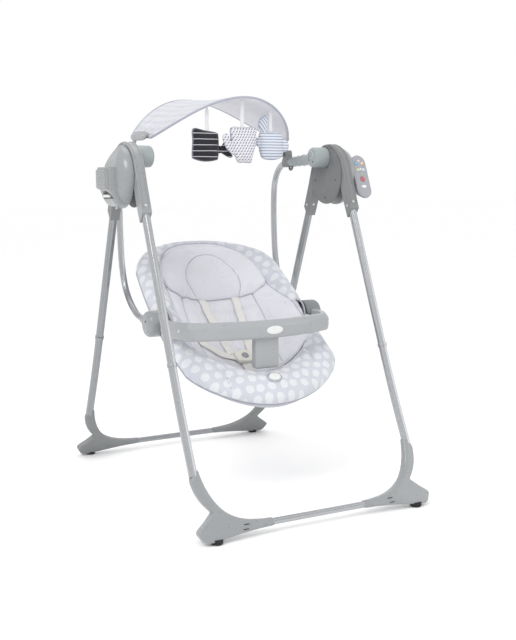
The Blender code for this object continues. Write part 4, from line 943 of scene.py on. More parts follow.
def knob(side, hand):
    """The swinging knob with an oval ring and a small hole on its face, and the ribbed stub behind it."""
    face = KNOB_IN
    profile = [(face + 0.0008, 0.004), (face + 0.0006, KNOB_R - 0.0085), (face + 0.0014, KNOB_R - 0.005),
               (face + 0.0034, KNOB_R - 0.002), (face + 0.007, KNOB_R), (PLATE_IN - 0.004, KNOB_R + 0.0004),
               (PLATE_IN - 0.003, KNOB_R - 0.0008), (PLATE_IN - 0.0008, KNOB_R - 0.0008),
               (PLATE_IN - 0.0008, 0.012)]
    show(f"knob_body_{hand}", turned(profile, (0, AXLE_Z), 88, side), "knob", "swing", f"swing_knob_{hand}",
         45)
    spot = facing(Vector((side * (face + 0.0004), 0.003, AXLE_Z + 0.006)), (-side, 0, 0))
    loop = oval_loop(spot, 0.0135, 0.0095, 56)
    # The ring's lighter grey is a painted highlight on its rim.
    hoop(f"knob_ring_{hand}", loop, circle(0.0014, 12), "knob_ring_highlight", "swing",
         up=(-side, 0, 0))
    # The hole is a black disc: painted shade inside it.
    dot = facing(Vector((side * (face + 0.0004), -0.009, AXLE_Z - 0.012)), (-side, 0, 0))
    hole = upright([(-0.001, 0.0022), (0.0004, 0.0022), (0.0005, 0.0015)], dot, 24)
    show(f"knob_hole_{hand}", hole, "black_and_hole_shade", "swing")
    route = spline([(side * (ARM_X + 0.007), 0.01, 0.8625), (side * (ARM_X + 0.005), 0.045, 0.8606),
                    (side * (ARM_X + 0.001), 0.09, 0.8575), (side * ARM_X, 0.1215, 0.8555)], 10)
    size = np.interp(np.linspace(0, 1, len(route)), (0, 0.35, 0.75, 1), (0.0158, 0.0145, 0.0124, 0.0116))
    rings = tube_rings(route, circle(1.0, 48), scale=list(size))
    show(f"stub_{hand}", rings, "knob", "swing")
    for i, share in enumerate((0.42, 0.58, 0.74)):
        k = int(share * (len(route) - 1))
        bulge = [size[k] + more for more in (0.0002, 0.0016, 0.0002)]
        rings = tube_rings(route[k - 1:k + 2], circle(1.0, 48), scale=bulge)
        show(f"stub_rib_{hand}_{i}", rings, "knob", "swing")


def clamp(side, hand):
    """The block that holds the hanger tube and the toy bar, with the hook that hangs below it."""
    outline = spline([(0.1222, 0.8445), (0.139, 0.843), (0.15, 0.8425), (0.1545, 0.852), (0.153, 0.863),
                      (0.149, 0.869), (0.1475, 0.88), (0.1455, 0.8875), (0.14, 0.8898), (0.1345, 0.8875),
                      (0.1325, 0.879), (0.13, 0.869), (0.1222, 0.867)], 5, closed=True)
    place = Matrix(((0, 0, 1, 0), (1, 0, 0, 0), (0, 1, 0, 0), (0, 0, 0, 1)))
    low, high = sorted((side * (ARM_X - 0.0115), side * (ARM_X + 0.0115)))
    # The block takes the darker copy of the grey plastic: painted shade.
    show(f"clamp_block_{hand}", slab(outline, low, high, place, 0.002, 4), "rear", "swing",
         f"arm_clamp_{hand}")
    for i, (y, z) in enumerate(((0.1395, 0.8815), (0.14, 0.855))):
        spot = Vector((side * (ARM_X + 0.0115), y, z))
        screw(f"clamp_screw_{hand}_{i}", facing(spot, (side, 0, 0)), 0.0036, "swing")
    hook = [Vector((side * ARM_X, y, z)) for y, z in
            ((0.112, 0.8435), (0.116, 0.837), (0.124, 0.835), (0.129, 0.8405))]
    rings = tube_rings(spline(hook, 6), circle(0.0032, 20))
    show(f"clamp_hook_{hand}", rings, "dark", "swing")


def pivot_cover(side, hand):
    """The round cover over the seat's pivot, with the elbow that takes the hanger tube."""
    inner, rim = PIVOT_X - 0.021, PIVOT_R
    profile = [(PIVOT_X + 0.004, 0.0262), (PIVOT_X + 0.003, rim - 0.0042), (inner + 0.002, rim - 0.004),
               (inner, rim - 0.003), (inner - 0.0002, rim - 0.0012), (inner + 0.0012, rim),
               (PIVOT_X + 0.015, rim), (PIVOT_X + 0.02, rim - 0.0014), (PIVOT_X + 0.024, rim - 0.0046),
               (PIVOT_X + 0.0265, rim - 0.01), (PIVOT_X + 0.0278, rim - 0.018), (PIVOT_X + 0.0283, 0.004)]
    # The right cover takes the darker copy of the grey plastic: painted shade.
    material = "rear" if side > 0 else "grey"
    show(f"pivot_cup_{hand}", turned(profile, SEAT_PIVOT, 88, side), material, "swing", f"pivot_cover_{hand}",
         50)
    route = spline([(side * ARM_X, y, z) for y, z in ((0.024, 0.444), (0.0455, 0.4443), (0.062, 0.4462))], 6)
    size = np.interp(np.linspace(0, 1, len(route)), (0, 0.7, 0.94, 1), (0.0132, 0.0122, 0.0118, 0.0105))
    show(f"pivot_elbow_{hand}", tube_rings(route, circle(1.0, 48), scale=list(size)), "grey", "swing")
    # The hole is a black disc: painted shade inside it.
    spot = Vector((side * (PIVOT_X + 0.0284), SEAT_PIVOT[0] - 0.006, SEAT_PIVOT[1] + 0.008))
    spot = facing(spot, (side, 0, 0))
    hole = upright([(-0.001, 0.0026), (0.0003, 0.0026), (0.0004, 0.002)], spot, 24)
    show(f"cover_hole_{hand}", hole, "black_and_hole_shade", "swing")


for side, hand in SIDES:
    knob(side, hand)
    clamp(side, hand)
    pivot_cover(side, hand)
    route = spline([(side * ARM_X, y, z) for y, z in ARM_ROUTE], 9)
    show(f"hanger_tube_{hand}", tube_rings(route, grooved(ARM_R, 60, 0.0007)), "tube", "swing",
         f"hanger_arm_{hand}")


# ---------------------------------------------------------------- seat

def seat_point(x, s, n):
    """A world point from the seat's own frame: x across, s up the backrest and n out of the seat."""
    return Vector((x, SEAT_PIVOT[0] + s * cos(SEAT_TILT) - n * sin(SEAT_TILT),
                   SEAT_PIVOT[1] + s * sin(SEAT_TILT) + n * cos(SEAT_TILT)))


def seat_rim(angle):
    """The seat's outline at an angle as (x, s): a blunt head end, straight sides and a rounder foot end."""
    c, k = cos(angle), sin(angle)
    power = 2.0 / (2.4 if k > 0 else 1.85)
    end = SEAT_HEAD if k > 0 else SEAT_FOOT
    x = SEAT_HALF * abs(c) ** power * (1 if c >= 0 else -1)
    s = (end - SEAT_STRAIGHT) * abs(k) ** power + SEAT_STRAIGHT * min(1.0, abs(k) / 0.35)
    if x > 0 and k < 0:                # the footrest's cover bags out on its right side
        x *= 1.0 + 0.075 * clamped((s - 0.09) / 0.1)
    return x, s * (1 if k >= 0 else -1)


def crotch_line(x):
    """Where the trough ends towards the foot rest, as s."""
    return -0.19 + 0.105 * (abs(x) / 0.2) ** 2


def seat_depth(x, s):
    """How deep the trough lies below the rim."""
    across = max(0.0, 1.0 - (abs(x) / 0.18) ** 2.8)
    rise = 1.0 / (1.0 + 2.718 ** (-(s - crotch_line(x)) / 0.0115))
    back = 0.08 - 0.02 * clamped((s + 0.09) / 0.2) - 0.034 * clamped((s - 0.08) / 0.19)
    return across * (rise * back - (1 - rise) * 0.003)


def foot_rise(s):
    """How far the foot end of the cover rises above the seat's own plane."""
    return 0.008 * clamped((-s - 0.12) / 0.14)


def even_angles(count):
    """Angles round the rim at equal steps along it."""
    fine = np.linspace(0, 2 * pi, 2401)
    points = np.array([seat_rim(a) for a in fine])
    length = np.concatenate([[0], np.cumsum(np.linalg.norm(np.diff(points, axis=0), axis=1))])
    return np.interp(np.linspace(0, length[-1], count, endpoint=False), length, fine)


def fall(distance, reach):
    """One at a line and nothing beyond its reach."""
    return max(0.0, 1.0 - abs(distance) / reach)


def to_segment(x, s, line):
    """Distance from a point to a line of (x, s) points, and how far along the line it lies."""
    best, along, run = 9.0, 0.0, 0.0
    for (ax, ay), (bx, by) in zip(line, line[1:]):
        dx, dy = bx - ax, by - ay
        length = (dx * dx + dy * dy) ** 0.5
        t = min(1.0, max(0.0, ((x - ax) * dx + (s - ay) * dy) / (length * length)))
        d = ((x - ax - t * dx) ** 2 + (s - ay - t * dy) ** 2) ** 0.5
        if d < best:
            best, along = d, run + t * length
        run += length
    return best, along


ZONE_LEFT, ZONE_RIGHT = 0.155, (0.195, 0.186, 0.156)     # half the plain part's width; the right one varies
SEAMS = [     # lines of (x, s) points
    [(-0.118, -0.188), (-0.121, -0.274)], [(0.15, -0.135), (0.147, -0.196)],
    [(-0.118, -0.02), (-0.116, 0.06), (-0.108, 0.12)], [(0.112, -0.02), (0.112, 0.06), (0.106, 0.12)],
    [(-0.1, -0.15), (-0.118, -0.02)], [(0.098, -0.15), (0.112, -0.02)], [(-0.168, 0.03), (-0.212, 0.026)],
    [(0.168, 0.03), (0.212, 0.026)],
]


def zone(x, s):
    """Above zero in the printed parts: the border round the sides and head, and the footrest."""
    k = max(0.0, s) / (SEAT_HEAD - 0.012)
    half = np.interp(s, (-0.05, 0.02, 0.12), ZONE_RIGHT) if x > 0 else ZONE_LEFT
    border = (abs(x) / half) ** 3.0 + k ** 3.4 - 1.0
    foot = (crotch_line(x) + 0.004) - s
    return max(border * 0.055, foot)


def pad_surface(x, s):
    """How high the pad's upper face lies, with soft unevenness and slack folds low in the trough."""
    wide, fine = noise.noise(Vector((x * 9, s * 9, 0.3))), noise.noise(Vector((x * 24, s * 16, 4.0)))
    fold = noise.noise(Vector((x * 10 + s * 16, s * 46 - abs(x) * 30, 7.0)))
    folds = clamped(seat_depth(x, s) / 0.05) * (1 - abs(fold)) ** 4 * clamped((0.03 - s) / 0.06)
    return RIM_TOP - seat_depth(x, s) + 0.0016 * wide + 0.0008 * fine + 0.0016 * folds


def nearest_seam(x, s):
    """Distance to the nearest seam line and the way along it."""
    near, along = 9.0, 0.0
    for line in SEAMS:
        if min(p[0] for p in line) - 0.05 < x < max(p[0] for p in line) + 0.05:
            d, t = to_segment(x, s, line)
            if d < near:
                near, along = d, t
    return near, along


def way_along(line):
    """How far each point of a line lies from its first point, measured along it."""
    return np.concatenate([[0], np.cumsum([np.hypot(b[0] - a[0], b[1] - a[1])
                                           for a, b in zip(line, line[1:])])])


ROLL = 10               # rows round the cover's edge, before its upper face starts


def seat_pad():
    """The cover as one skin: rim, upper face and underside. Each point has (zone, seam, along) marks."""
    around = 264
    rim = [seat_rim(a) for a in even_angles(around)]
    rim_run = way_along(rim)
    points, uvs, marks = [], [], []
    for i in range(ROLL + 1):
        a = i / ROLL * pi / 2
        k, spread = 1.0 - 0.035 * (1 - sin(a)), 1 - i / ROLL
        for (x, s), run in zip(rim, rim_run):
            points.append(seat_point(x * k, s * k, RIM_LOW + foot_rise(s) + 0.01 - 0.01 * cos(a)))
            uvs.append((x * (1 + 0.12 * spread), s * (1 + 0.1 * spread)))
            marks.append((0.05, abs(i - 3) * 0.002, run))
    for share in (1.0 - (i / 96) ** 0.96 * 0.985 for i in range(1, 97)):
        bulge = (1 - (1 - min(1.0, (1.0 - share) / 0.135)) ** 2) ** 0.5
        for (rx, rs), run in zip(rim, rim_run):
            x, s = rx * share, rs * share
            value = zone(x, s)
            near, along = nearest_seam(x, s)
            if abs(value) < near:
                near, along = abs(value), run * share
            top = pad_surface(x, s)
            if share > 0.865:
                low = RIM_LOW + foot_rise(s) + 0.01
                top = low + (top - low) * bulge
            groove = 0.0036 * fall(near, 0.0048) ** 0.7 + 0.0042 * fall(near, 0.024) ** 1.5
            groove *= clamped((0.985 - share) / 0.06)
            if s < -0.05 and abs(x) < 0.165:
                groove += 0.008 * fall(s - crotch_line(x) + 0.001, 0.0085)
            points.append(seat_point(x, s, top - groove))
            uvs.append((x, s))
            marks.append((value, near, along))
    top_count, faces = len(points), []
    for a in range(0, top_count - around, around):
        b = a + around
        faces += [(a + j, a + (j + 1) % around, b + (j + 1) % around, b + j) for j in range(around)]
    faces.append(tuple(range(top_count - around, top_count)))
    # The underside follows the upper face
    last = 0
    for share in (0.9, 0.8, 0.66, 0.5, 0.34, 0.18):
        start = len(points)
        for rx, rs in rim:
            x, s = rx * share, rs * share
            sink = seat_depth(x, s) if share < 0.86 else 0.0
            points.append(seat_point(x, s, RIM_LOW + foot_rise(s) - max(0.0, sink - 0.018)))
            uvs.append((x, s))
            marks.append((-0.05, 0.02, 0.0))
        faces += [(last + j, start + j, start + (j + 1) % around, last + (j + 1) % around)
                  for j in range(around)]
        last = start
    faces.append(tuple(last + j for j in range(around))[::-1])
    zones, seams, runs = np.array(marks).T
    made = piece("seat_cover", points, faces, "seat", "seat", "seat_pad", uvs, 80,
                 {"zone": zones, "seam": seams, "along": runs})
    held = np.clip(1.0 - (seams - 0.002) / 0.01, 0.0, 1.0)
    held[:around * (ROLL + 6)] = 1.0
    held[top_count:] = 1.0
    puff(made, 0.0065, held)
    return made


def surface_of(made):
    """A piece's surface, for things that lie on it."""
    bm = bmesh.new()
    bm.from_mesh(made.data)
    tree = BVHTree.FromBMesh(bm)
    bm.free()
    return tree


cover = seat_pad()
surface = surface_of(cover)
SEAT_OUT = (seat_point(0, 0, 1) - seat_point(0, 0, 0)).normalized()


def on_cover(x, s):
    """Height of the cover above the seat's own plane at a point."""
    start = seat_point(x, s, 0.2)
    hit = surface.ray_cast(start, -SEAT_OUT)[0]
    return 0.2 - (start - hit).length if hit else RIM_TOP - seat_depth(x, s)


def pivot_notch(side, hand):
    """The cut-out for a pivot, with a piping ring round it."""
    radius = PIVOT_R + 0.0025
    cut(cover, turned([(0.196, radius), (0.3, radius)], SEAT_PIVOT, 72, side))
    cut(cover, turned([(0.1785, 0.0145), (0.21, 0.0145)], SEAT_PIVOT, 40, side))
    loop = turned([(0.1975, radius + 0.0005)], SEAT_PIVOT, 80, side)[0]
    hoop(f"notch_piping_{hand}", loop, circle(0.0022, 14), "piping", "seat")


for side, hand in SIDES:
    pivot_notch(side, hand)

# Piping round the outer edge of the cover, and the tube frame with its bosses under it
outline = [seat_rim(a) for a in even_angles(240)]
loop = [seat_point(x * 0.985, s * 0.985, RIM_LOW + foot_rise(s) - 0.0005) for x, s in outline]
hoop("edge_piping", loop, circle(0.003, 16), "binding", "seat", up=SEAT_OUT)
outline = [seat_rim(a) for a in even_angles(160)]
loop = [seat_point(x * 0.86, s * 0.955, -0.0225 + foot_rise(s)) for x, s in outline]
hoop("seat_tube", loop, circle(0.0085, 36), "steel", "seat", "seat_frame", SEAT_OUT)
for side, hand in SIDES:
    boss = [(0.1815, 0.01), (0.1812, 0.0118), (0.1822, 0.0125), (PIVOT_X - 0.019, 0.0125),
            (PIVOT_X - 0.0186, 0.024), (PIVOT_X - 0.017, 0.0255), (PIVOT_X + 0.0026, 0.0255)]
    show(f"seat_boss_{hand}", turned(boss, SEAT_PIVOT, 56, side), "dark", "seat")


PILLOW_LOW, PILLOW_WIDEST, PILLOW_MIDDLE, PILLOW_HIGH, PILLOW_HALF = 0.104, 0.16, 0.18, 0.289, 0.15


def pillow_edge(angle):
    """The pillow's outline: nearly straight along the bottom and an arch above."""
    c, k = cos(angle), sin(angle)
    x = PILLOW_HALF * abs(c) ** 0.8 * (1 if c >= 0 else -1)
    if k >= 0:
        return x, PILLOW_WIDEST + (PILLOW_HIGH - PILLOW_WIDEST) * k ** 0.88
    return x, PILLOW_WIDEST - (PILLOW_WIDEST - PILLOW_LOW) * abs(k) ** 0.42


def pillow():
    """The head pillow on the backrest, with a round seam, folds that run out from it and a piped edge."""
    around = 168
    edge = [pillow_edge(a) for a in full_turn(around)]
    run = way_along(edge)

    def place(x, s, n):
        return seat_point(x, s, on_cover(x, s) + n)

    def towards_middle(x, s, share):
        return x * share, PILLOW_MIDDLE + (s - PILLOW_MIDDLE) * share

    rows, uvs, marks = [], [], []
    for share in (0.5, 0.8, 0.93):
        rows.append([place(*towards_middle(x, s, share), 0.0012) for x, s in edge])
        uvs += [(x * share, s * share) for x, s in edge]
        marks += [(0.02, 0.0)] * around
    for share in (1.0 - i / 44 * 0.985 for i in range(45)):
        row, plump = [], (1 - share ** 3.2) ** 0.55
        for (ex, es), r in zip(edge, run):
            x, s = towards_middle(ex, es, share)
            inner = ((x / 0.079) ** 2 + ((s - 0.158) / 0.086) ** 2) ** 0.5
            line = abs(inner - 1) * 0.07
            angle = atan2(s - 0.165, x)
            fold = noise.noise(Vector((cos(angle) * 5.5, sin(angle) * 5.5, inner * 0.5)))
            height = 0.0035 + 0.0155 * plump - 0.0048 * fall(line, 0.016) ** 1.4 - 0.002 * fall(line, 0.004)
            height += 0.0026 * fold * min(1.0, inner) * plump
            height += 0.001 * noise.noise(Vector((x * 22, s * 22, 2)))
            height -= 0.002 * max(0.0, 1 - inner)
            row.append(place(x, s, height))
            uvs.append((x, s))
            marks.append((min(line, abs(1 - share) * 0.15), r))
        rows.append(row)
    points, faces, _ = skin(rows)
    seams, runs = np.array(marks).T
    made = piece("pillow", points, faces, "plain", "seat", "head_pillow", uvs, 80,
                 {"seam": seams, "along": runs})
    loop = [seat_point(x * 1.004, PILLOW_MIDDLE + (s - PILLOW_MIDDLE) * 1.004, on_cover(x, s) + 0.0035)
            for x, s in (pillow_edge(a) for a in full_turn(200))]
    seamless(hoop("pillow_piping", loop, circle(0.0021, 14), "piping", "seat", up=SEAT_OUT))


pillow()


def tape(name, line, half, thick, lift, replaces=()):
    """A woven tape laid on the cover along (x, s) points, lifted off it by a function of the way along."""
    line = [Vector((*p, 0)) for p in spline(line, 9)]
    rings, steps, last = [], 10, len(line) - 1
    for i, here in enumerate(line):
        ahead = (line[min(i + 1, last)] - line[max(i - 1, 0)]).normalized()
        side = Vector((-ahead.y, ahead.x, 0))
        top, low = [], []
        for j in range(steps + 1):
            a = (2 * j / steps - 1) * half
            p = here + side * a
            beside = (on_cover(p.x + side.x * 0.004, p.y) + on_cover(p.x - side.x * 0.004, p.y)) / 2
            n = max(on_cover(p.x, p.y), beside) + lift(i / last) + 0.0008 * (1 - (a / half) ** 2)
            edge = 0.35 if j in (0, steps) else 1.0
            top.append(seat_point(p.x, p.y, n + thick * (0.5 + 0.5 * edge)))
            low.append(seat_point(p.x, p.y, n + thick * (0.5 - 0.5 * edge)))
        rings.append(top + low[::-1])
    points, faces, uv = skin(rings)
    width = np.array([*np.linspace(-half, half, steps + 1), *np.linspace(half, -half, steps + 1)])
    uv = np.stack([np.tile(width, len(rings)), uv[:, 1]], 1)
    piece(name, points, faces, "webbing", "seat", replaces, uv, 50)


# The folded strip along the crotch edge of the trough
line = [(x, crotch_line(x) + 0.0105) for x in np.linspace(-0.166, 0.16, 60)]
route = [seat_point(x, s, on_cover(x, s) + 0.0012 + 0.0006 * noise.noise(Vector((x * 30, 0, 0))))
         for x, s in line]
size = [min(1.0, 0.35 + 7 * min(i, 59 - i) / 59) for i in range(60)]
seamless(show("crotch_binding", tube_rings(route, circle(0.0078, 24, 0.0034), up=SEAT_OUT, scale=size),
              "plain", "seat"))

# A thin dark tube along the crotch line below the strip: painted shadow under the fold.
line = [(x, crotch_line(x) + 0.0012) for x in np.linspace(-0.16, 0.154, 60)]
route = [seat_point(x, s, on_cover(x, s) + 0.0008) for x, s in line]
show("crotch_painted_shadow", tube_rings(route, circle(0.0019, 12), up=SEAT_OUT, scale=size), "edge", "seat")

for side, hand in SIDES:
    line = [(side * (0.05 - 0.02 * t ** 1.5), 0.118 + (BUCKLE_S + 0.016 - 0.118) * t)
            for t in np.linspace(0, 1, 7)]
    tape(f"shoulder_strap_{hand}", line, 0.0108, 0.0017,
         lambda t: 0.0015 + 0.003 * sin(pi * min(1.0, t * 1.1)) ** 2 + 0.004 * max(0.0, t - 0.85) / 0.15,
         "harness_straps" if side < 0 else ())
    # Adjuster slide on each strap
    x, s = side * 0.0405, -0.012
    place = Matrix.Translation(seat_point(x, s, on_cover(x, s) + 0.0075)) @ Matrix.Rotation(SEAT_TILT, 4, "X")
    outline = [(copysign(0.0145 * abs(cos(a)) ** 0.4, cos(a)), copysign(0.0075 * abs(sin(a)) ** 0.5, sin(a)))
               for a in (2 * pi * (i + 0.5) / 40 for i in range(40))]
    rings = slab(outline, -0.0012, 0.0012, place, 0.0009)
    show(f"strap_slide_{hand}", rings, "cream", "seat")
for side, hand in SIDES:
    line = [(side * x, BUCKLE_S + s) for x, s in
            ((0.02, 0.004), (0.06, 0.02), (0.105, 0.052), (0.142, 0.085))]
    tape(f"waist_strap_{hand}", line, 0.0105, 0.0017,
         lambda t: 0.0035 * (1 - t) + 0.001 - 0.006 * max(0.0, t - 0.8) / 0.2)
tape("crotch_strap", [(0.0, BUCKLE_S - 0.01), (0.0, BUCKLE_S - 0.04), (0.0, -0.176)], 0.0125, 0.0018,
     lambda t: 0.003 * (1 - t) + 0.001)

buckle_base = RIM_TOP - seat_depth(0, BUCKLE_S)
buckle_place = Matrix.Translation(seat_point(0, BUCKLE_S, buckle_base)) @ Matrix.Rotation(SEAT_TILT, 4, "X")
outline = spline([(-0.0245, 0.0125), (-0.018, 0.0195), (0.018, 0.0195), (0.0245, 0.0125), (0.0262, 0.0),
                  (0.0225, -0.013), (0.015, -0.0195), (-0.015, -0.0195), (-0.0225, -0.013), (-0.0262, 0.0)],
                 6, closed=True)
body = show("buckle_body", slab(outline, 0.004, 0.0172, buckle_place, 0.0042, 5), "cream", "seat",
            "harness_buckle", 50)
cut(body, upright([(0.009, 0.0101), (0.03, 0.0101)], buckle_place, 48))
cap = [(0.0115, 0.0096), (0.0172, 0.0096), (0.0184, 0.009), (0.0189, 0.0074), (0.0182, 0.0035)]
show("buckle_press_button", upright(cap, buckle_place, 48), "grey", "buckle_key", "buckle_button")


stud_place = (Matrix.Translation(seat_point(0, STUD_S, on_cover(0, STUD_S))) @ Matrix.Rotation(SEAT_TILT, 4,
                                                                                               "X"))
rings = oval_rings(stud_place, ((0.0, 0.98), (0.003, 1.0), (0.0048, 0.94), (0.0056, 0.8), (0.006, 0.45)),
                   0.0165, 0.012)
show("stud_cap", rings, "white_part", "seat", "footrest_stud")
loop = oval_loop(stud_place, 0.02, 0.0152, 80, 0.0006)
hoop("stud_ring", loop, circle(0.0015, 12), "piping", "seat", up=SEAT_OUT)


# ---------------------------------------------------------------- play tray

def tray_line(t):
    """The rail's middle line seen from above, from its left end at -1 to its right end at 1."""
    side = 1 if t > 0 else -1
    a = abs(t)
    if a < TRAY_BEND:
        u = a / TRAY_BEND
        return side * TRAY_HALF * u, TRAY_FRONT + 0.048 * u * u
    u = (a - TRAY_BEND) / (1 - TRAY_BEND)
    return side * (TRAY_HALF + 0.027 * sin(u * pi / 2)), TRAY_FRONT + 0.048 + 0.03 * u * u + 0.06 * u


def tray_out(t, step):
    """The way out of the rail's outer face."""
    after, before = tray_line(min(1, t + step)), tray_line(max(-1, t - step))
    ahead = Vector((after[0] - before[0], after[1] - before[1], 0)).normalized()
    return Vector((ahead.y, -ahead.x, 0))


def tray():
    """The tray: a rail of one section round the front, its post, the plain oval and the end screws."""
    rings, thick = [], 0.0115
    corners = [(0.1, 0.99), (0.32, 0.95), (0.78, 0.6), (0.95, 0.46), (1.03, 0.26), (1.06, -0.1), (1.03, -0.4),
               (0.95, -0.72), (0.72, -0.94), (0.4, -1.0), (-0.55, -1.0), (-0.85, -0.93), (-1.0, -0.7),
               (-1.0, 0.0), (-1.0, 0.72), (-0.9, 0.92), (-0.72, 1.0), (-0.3, 1.0)]
    for t in np.linspace(-1, 1, 121):
        out = tray_out(t, 0.04)
        taper = 0.004 * max(0.0, abs(t) - TRAY_BEND) / (1 - TRAY_BEND)
        half = 0.0225 - taper
        middle = Vector((*tray_line(t), TRAY_Z + taper))
        section = spline([(a * thick, b * half) for a, b in corners], 4, closed=True)
        rings.append([middle + out * a + Vector((0, 0, b)) for a, b in section])
    show("tray_rail", rings, "tray", "tray", "play_tray", 45)
    outline = []
    for i, (x, y) in enumerate(((0.028, -0.157), (-0.028, -0.157), (-0.028, -0.17), (0.028, -0.17))):
        outline += arc((x, y), 0.006, 90 * i, 90 * i + 90, 6)
    rows = slab(outline, 0.331, 0.424, Matrix.Identity(4), 0.007, 6)
    show("tray_post", rows, "tray", "tray")
    x, y = tray_line(0.05)
    place = facing(Vector((x, y - thick * 1.05, TRAY_Z - 0.0015)), (0, -1, 0))
    rings = oval_rings(place, ((-0.001, 1.0), (0.0008, 1.0), (0.0014, 0.93), (0.0015, 0.5)), 0.023, 0.0105)
    show("tray_oval", rings, "white_part", "tray")
    for i, t in enumerate((-0.8, 0.8)):
        out = tray_out(t, 0.01)
        spot = Vector((*tray_line(t), TRAY_Z + 0.004)) + out * 0.0121
        screw(f"tray_screw_{i}", facing(spot, out), 0.0038, "tray")


tray()


# ---------------------------------------------------------------- toy bar

def canopy_edge(edge, t):
    """A point on the canopy's front or back edge, at an angle from its left end over to its right end."""
    k = sin(t)
    return Vector((-edge["x"] * cos(t), edge["y"] + edge["dy"] * k ** edge["py"],
                   edge["z"] + edge["dz"] * k ** edge["pz"]))


def canopy_point(t, v, lift):
    """A point between the two edges, from v = 0 at the front to 1 at the back; the middle sags."""
    front, back = canopy_edge(CANOPY_FRONT, t), canopy_edge(CANOPY_BACK, t)
    out = Vector((-cos(t) * 0.7, 0, 1.0)).normalized()
    return front.lerp(back, v) + out * (lift - 0.006 * sin(pi * v) * sin(t))


def canopy():
    """The padded arch: printed top, plain underside, and a darker binding round the edge."""
    along, across, half = 150, 44, 0.0026
    spans = np.linspace(CANOPY_END, pi - CANOPY_END, along + 1)
    middle = [canopy_point(t, 0.5, 0) for t in spans]
    run = np.concatenate([[0], np.cumsum([(b - a).length for a, b in zip(middle, middle[1:])])])
    for name, sign, material in (("canopy_top", 1, "print"), ("canopy_lining", -1, "plain")):
        rings, uvs, seams, runs = [], [], [], []
        for t, r in zip(spans, run):
            width = (canopy_point(t, 1, 0) - canopy_point(t, 0, 0)).length
            outer, inner = [], []
            for j in range(across + 1):
                v = j / across
                edge = min(v, 1 - v) * width
                end = min(r, run[-1] - r)
                plump = min(1.0, min(edge, end) / 0.016) ** 0.5
                wave = 0.0011 * noise.noise(Vector((r * 26, v * 3.0, 3.0 * sign)))
                line = abs(edge - 0.0085)
                high = half * (0.3 + 0.7 * plump) + wave * plump - 0.0012 * fall(line, 0.0045)
                outer.append(canopy_point(t, v, sign * high))
                inner.append(canopy_point(t, v, sign * 0.00012))
                seams.append(min(line, abs(end - 0.0085)))
            rings.append(outer + inner[::-1])
            seams += [0.02] * (across + 1)
            runs += [r] * (2 * across + 2)
            flat = [(j / across * width, r) for j in range(across + 1)]
            uvs += flat + flat[::-1]
        points, faces, _ = skin(rings)
        made = piece(name, points, faces, material, "toy_bar", "canopy_fabric" if sign > 0 else (),
                     uvs, 80, {"seam": seams, "along": runs})
    ends = np.linspace(0, 1, 24)[1:-1]
    loop = [canopy_point(t, 0, 0) for t in spans] + [canopy_point(spans[-1], v, 0) for v in ends]
    loop += [canopy_point(t, 1, 0) for t in spans[::-1]] + [canopy_point(spans[0], 1 - v, 0) for v in ends]
    section = circle(0.0028, 20, 0.003)
    hoop("canopy_binding", loop, section, "binding", "toy_bar", up=(0.02, 0.01, 1))


canopy()


def clip(side, hand):
    """The paddle plate on the canopy's end and its neck down to the arm clamp."""
    out, lean = Vector((side * 0.91, 0, 0.42)).normalized(), Vector((-side * 0.42, 0, 0.91)).normalized()
    section = ((1, 0.9), (1.25, 0.5), (1.3, 0.0), (1.25, -0.5), (1, -0.9), (0.4, -1.0), (-0.8, -0.96),
               (-1, -0.5), (-1, 0.0), (-1, 0.5), (-0.8, 0.96), (0.4, 1.0))

    def on_paddle(y, off):
        """A point on the paddle's middle line, moved out of its face."""
        return Vector((side * 0.207, y, 0.9225 + 0.04 * (y - 0.148))) + out * off

    rings = []
    for y in np.linspace(0.084, 0.194, 25):
        high = 0.013 * sqrt_safe(1 - ((y - 0.139) / 0.055) ** 4) + 0.0006
        rings.append([on_paddle(y, a * 0.0022 + 0.004) + lean * b * high for a, b in section])
    paddle = show(f"clip_paddle_{hand}", rings, "grey", "toy_bar", f"canopy_clip_{hand}", 42)
    bevelled(paddle, 0.0007, 2)
    route = spline([(side * 0.2115, 0.164, 0.92), (side * 0.218, 0.16, 0.905), (side * 0.2205, 0.15, 0.893),
                    (side * 0.2205, 0.14, 0.8815)], 8)
    size = np.interp(np.linspace(0, 1, len(route)), (0, 0.5, 1), (1.25, 1.0, 0.95))
    rings = tube_rings(route, circle(0.004, 32, 0.0085), up=(0, 1, 0.01), scale=list(size))
    show(f"clip_neck_{hand}", rings, "grey", "toy_bar")
    eye = [(0.2167, 0.006), (0.2168, 0.0088), (0.2178, 0.0098), (0.2236, 0.0098), (0.2246, 0.0088),
           (0.2246, 0.006)]
    show(f"clip_eye_{hand}", turned(eye, (0.14, 0.8815), 48, side), "dark", "toy_bar")
    for i, y in enumerate((0.172, 0.104)):
        place = facing(on_paddle(y, 0.0066), out, (0, 1, 0))
        # A black disc round each screw: painted shade in its well.
        well = upright([(-0.001, 0.0046), (0.0002, 0.0046), (0.0003, 0.0036)], place, 24)
        show(f"clip_well_{hand}_{i}", well, "black_and_hole_shade", "toy_bar")
        screw(f"clip_screw_{hand}_{i}", place, 0.004, "toy_bar")


for side, hand in SIDES:
    clip(side, hand)


def hang_point(x):
    """Where a toy's ribbon leaves the canopy's lining."""
    t = acos(-x / CANOPY_FRONT["x"])
    place = canopy_point(t, 0.06, 0.0)
    return Vector((x, place.y, place.z - 0.0032))


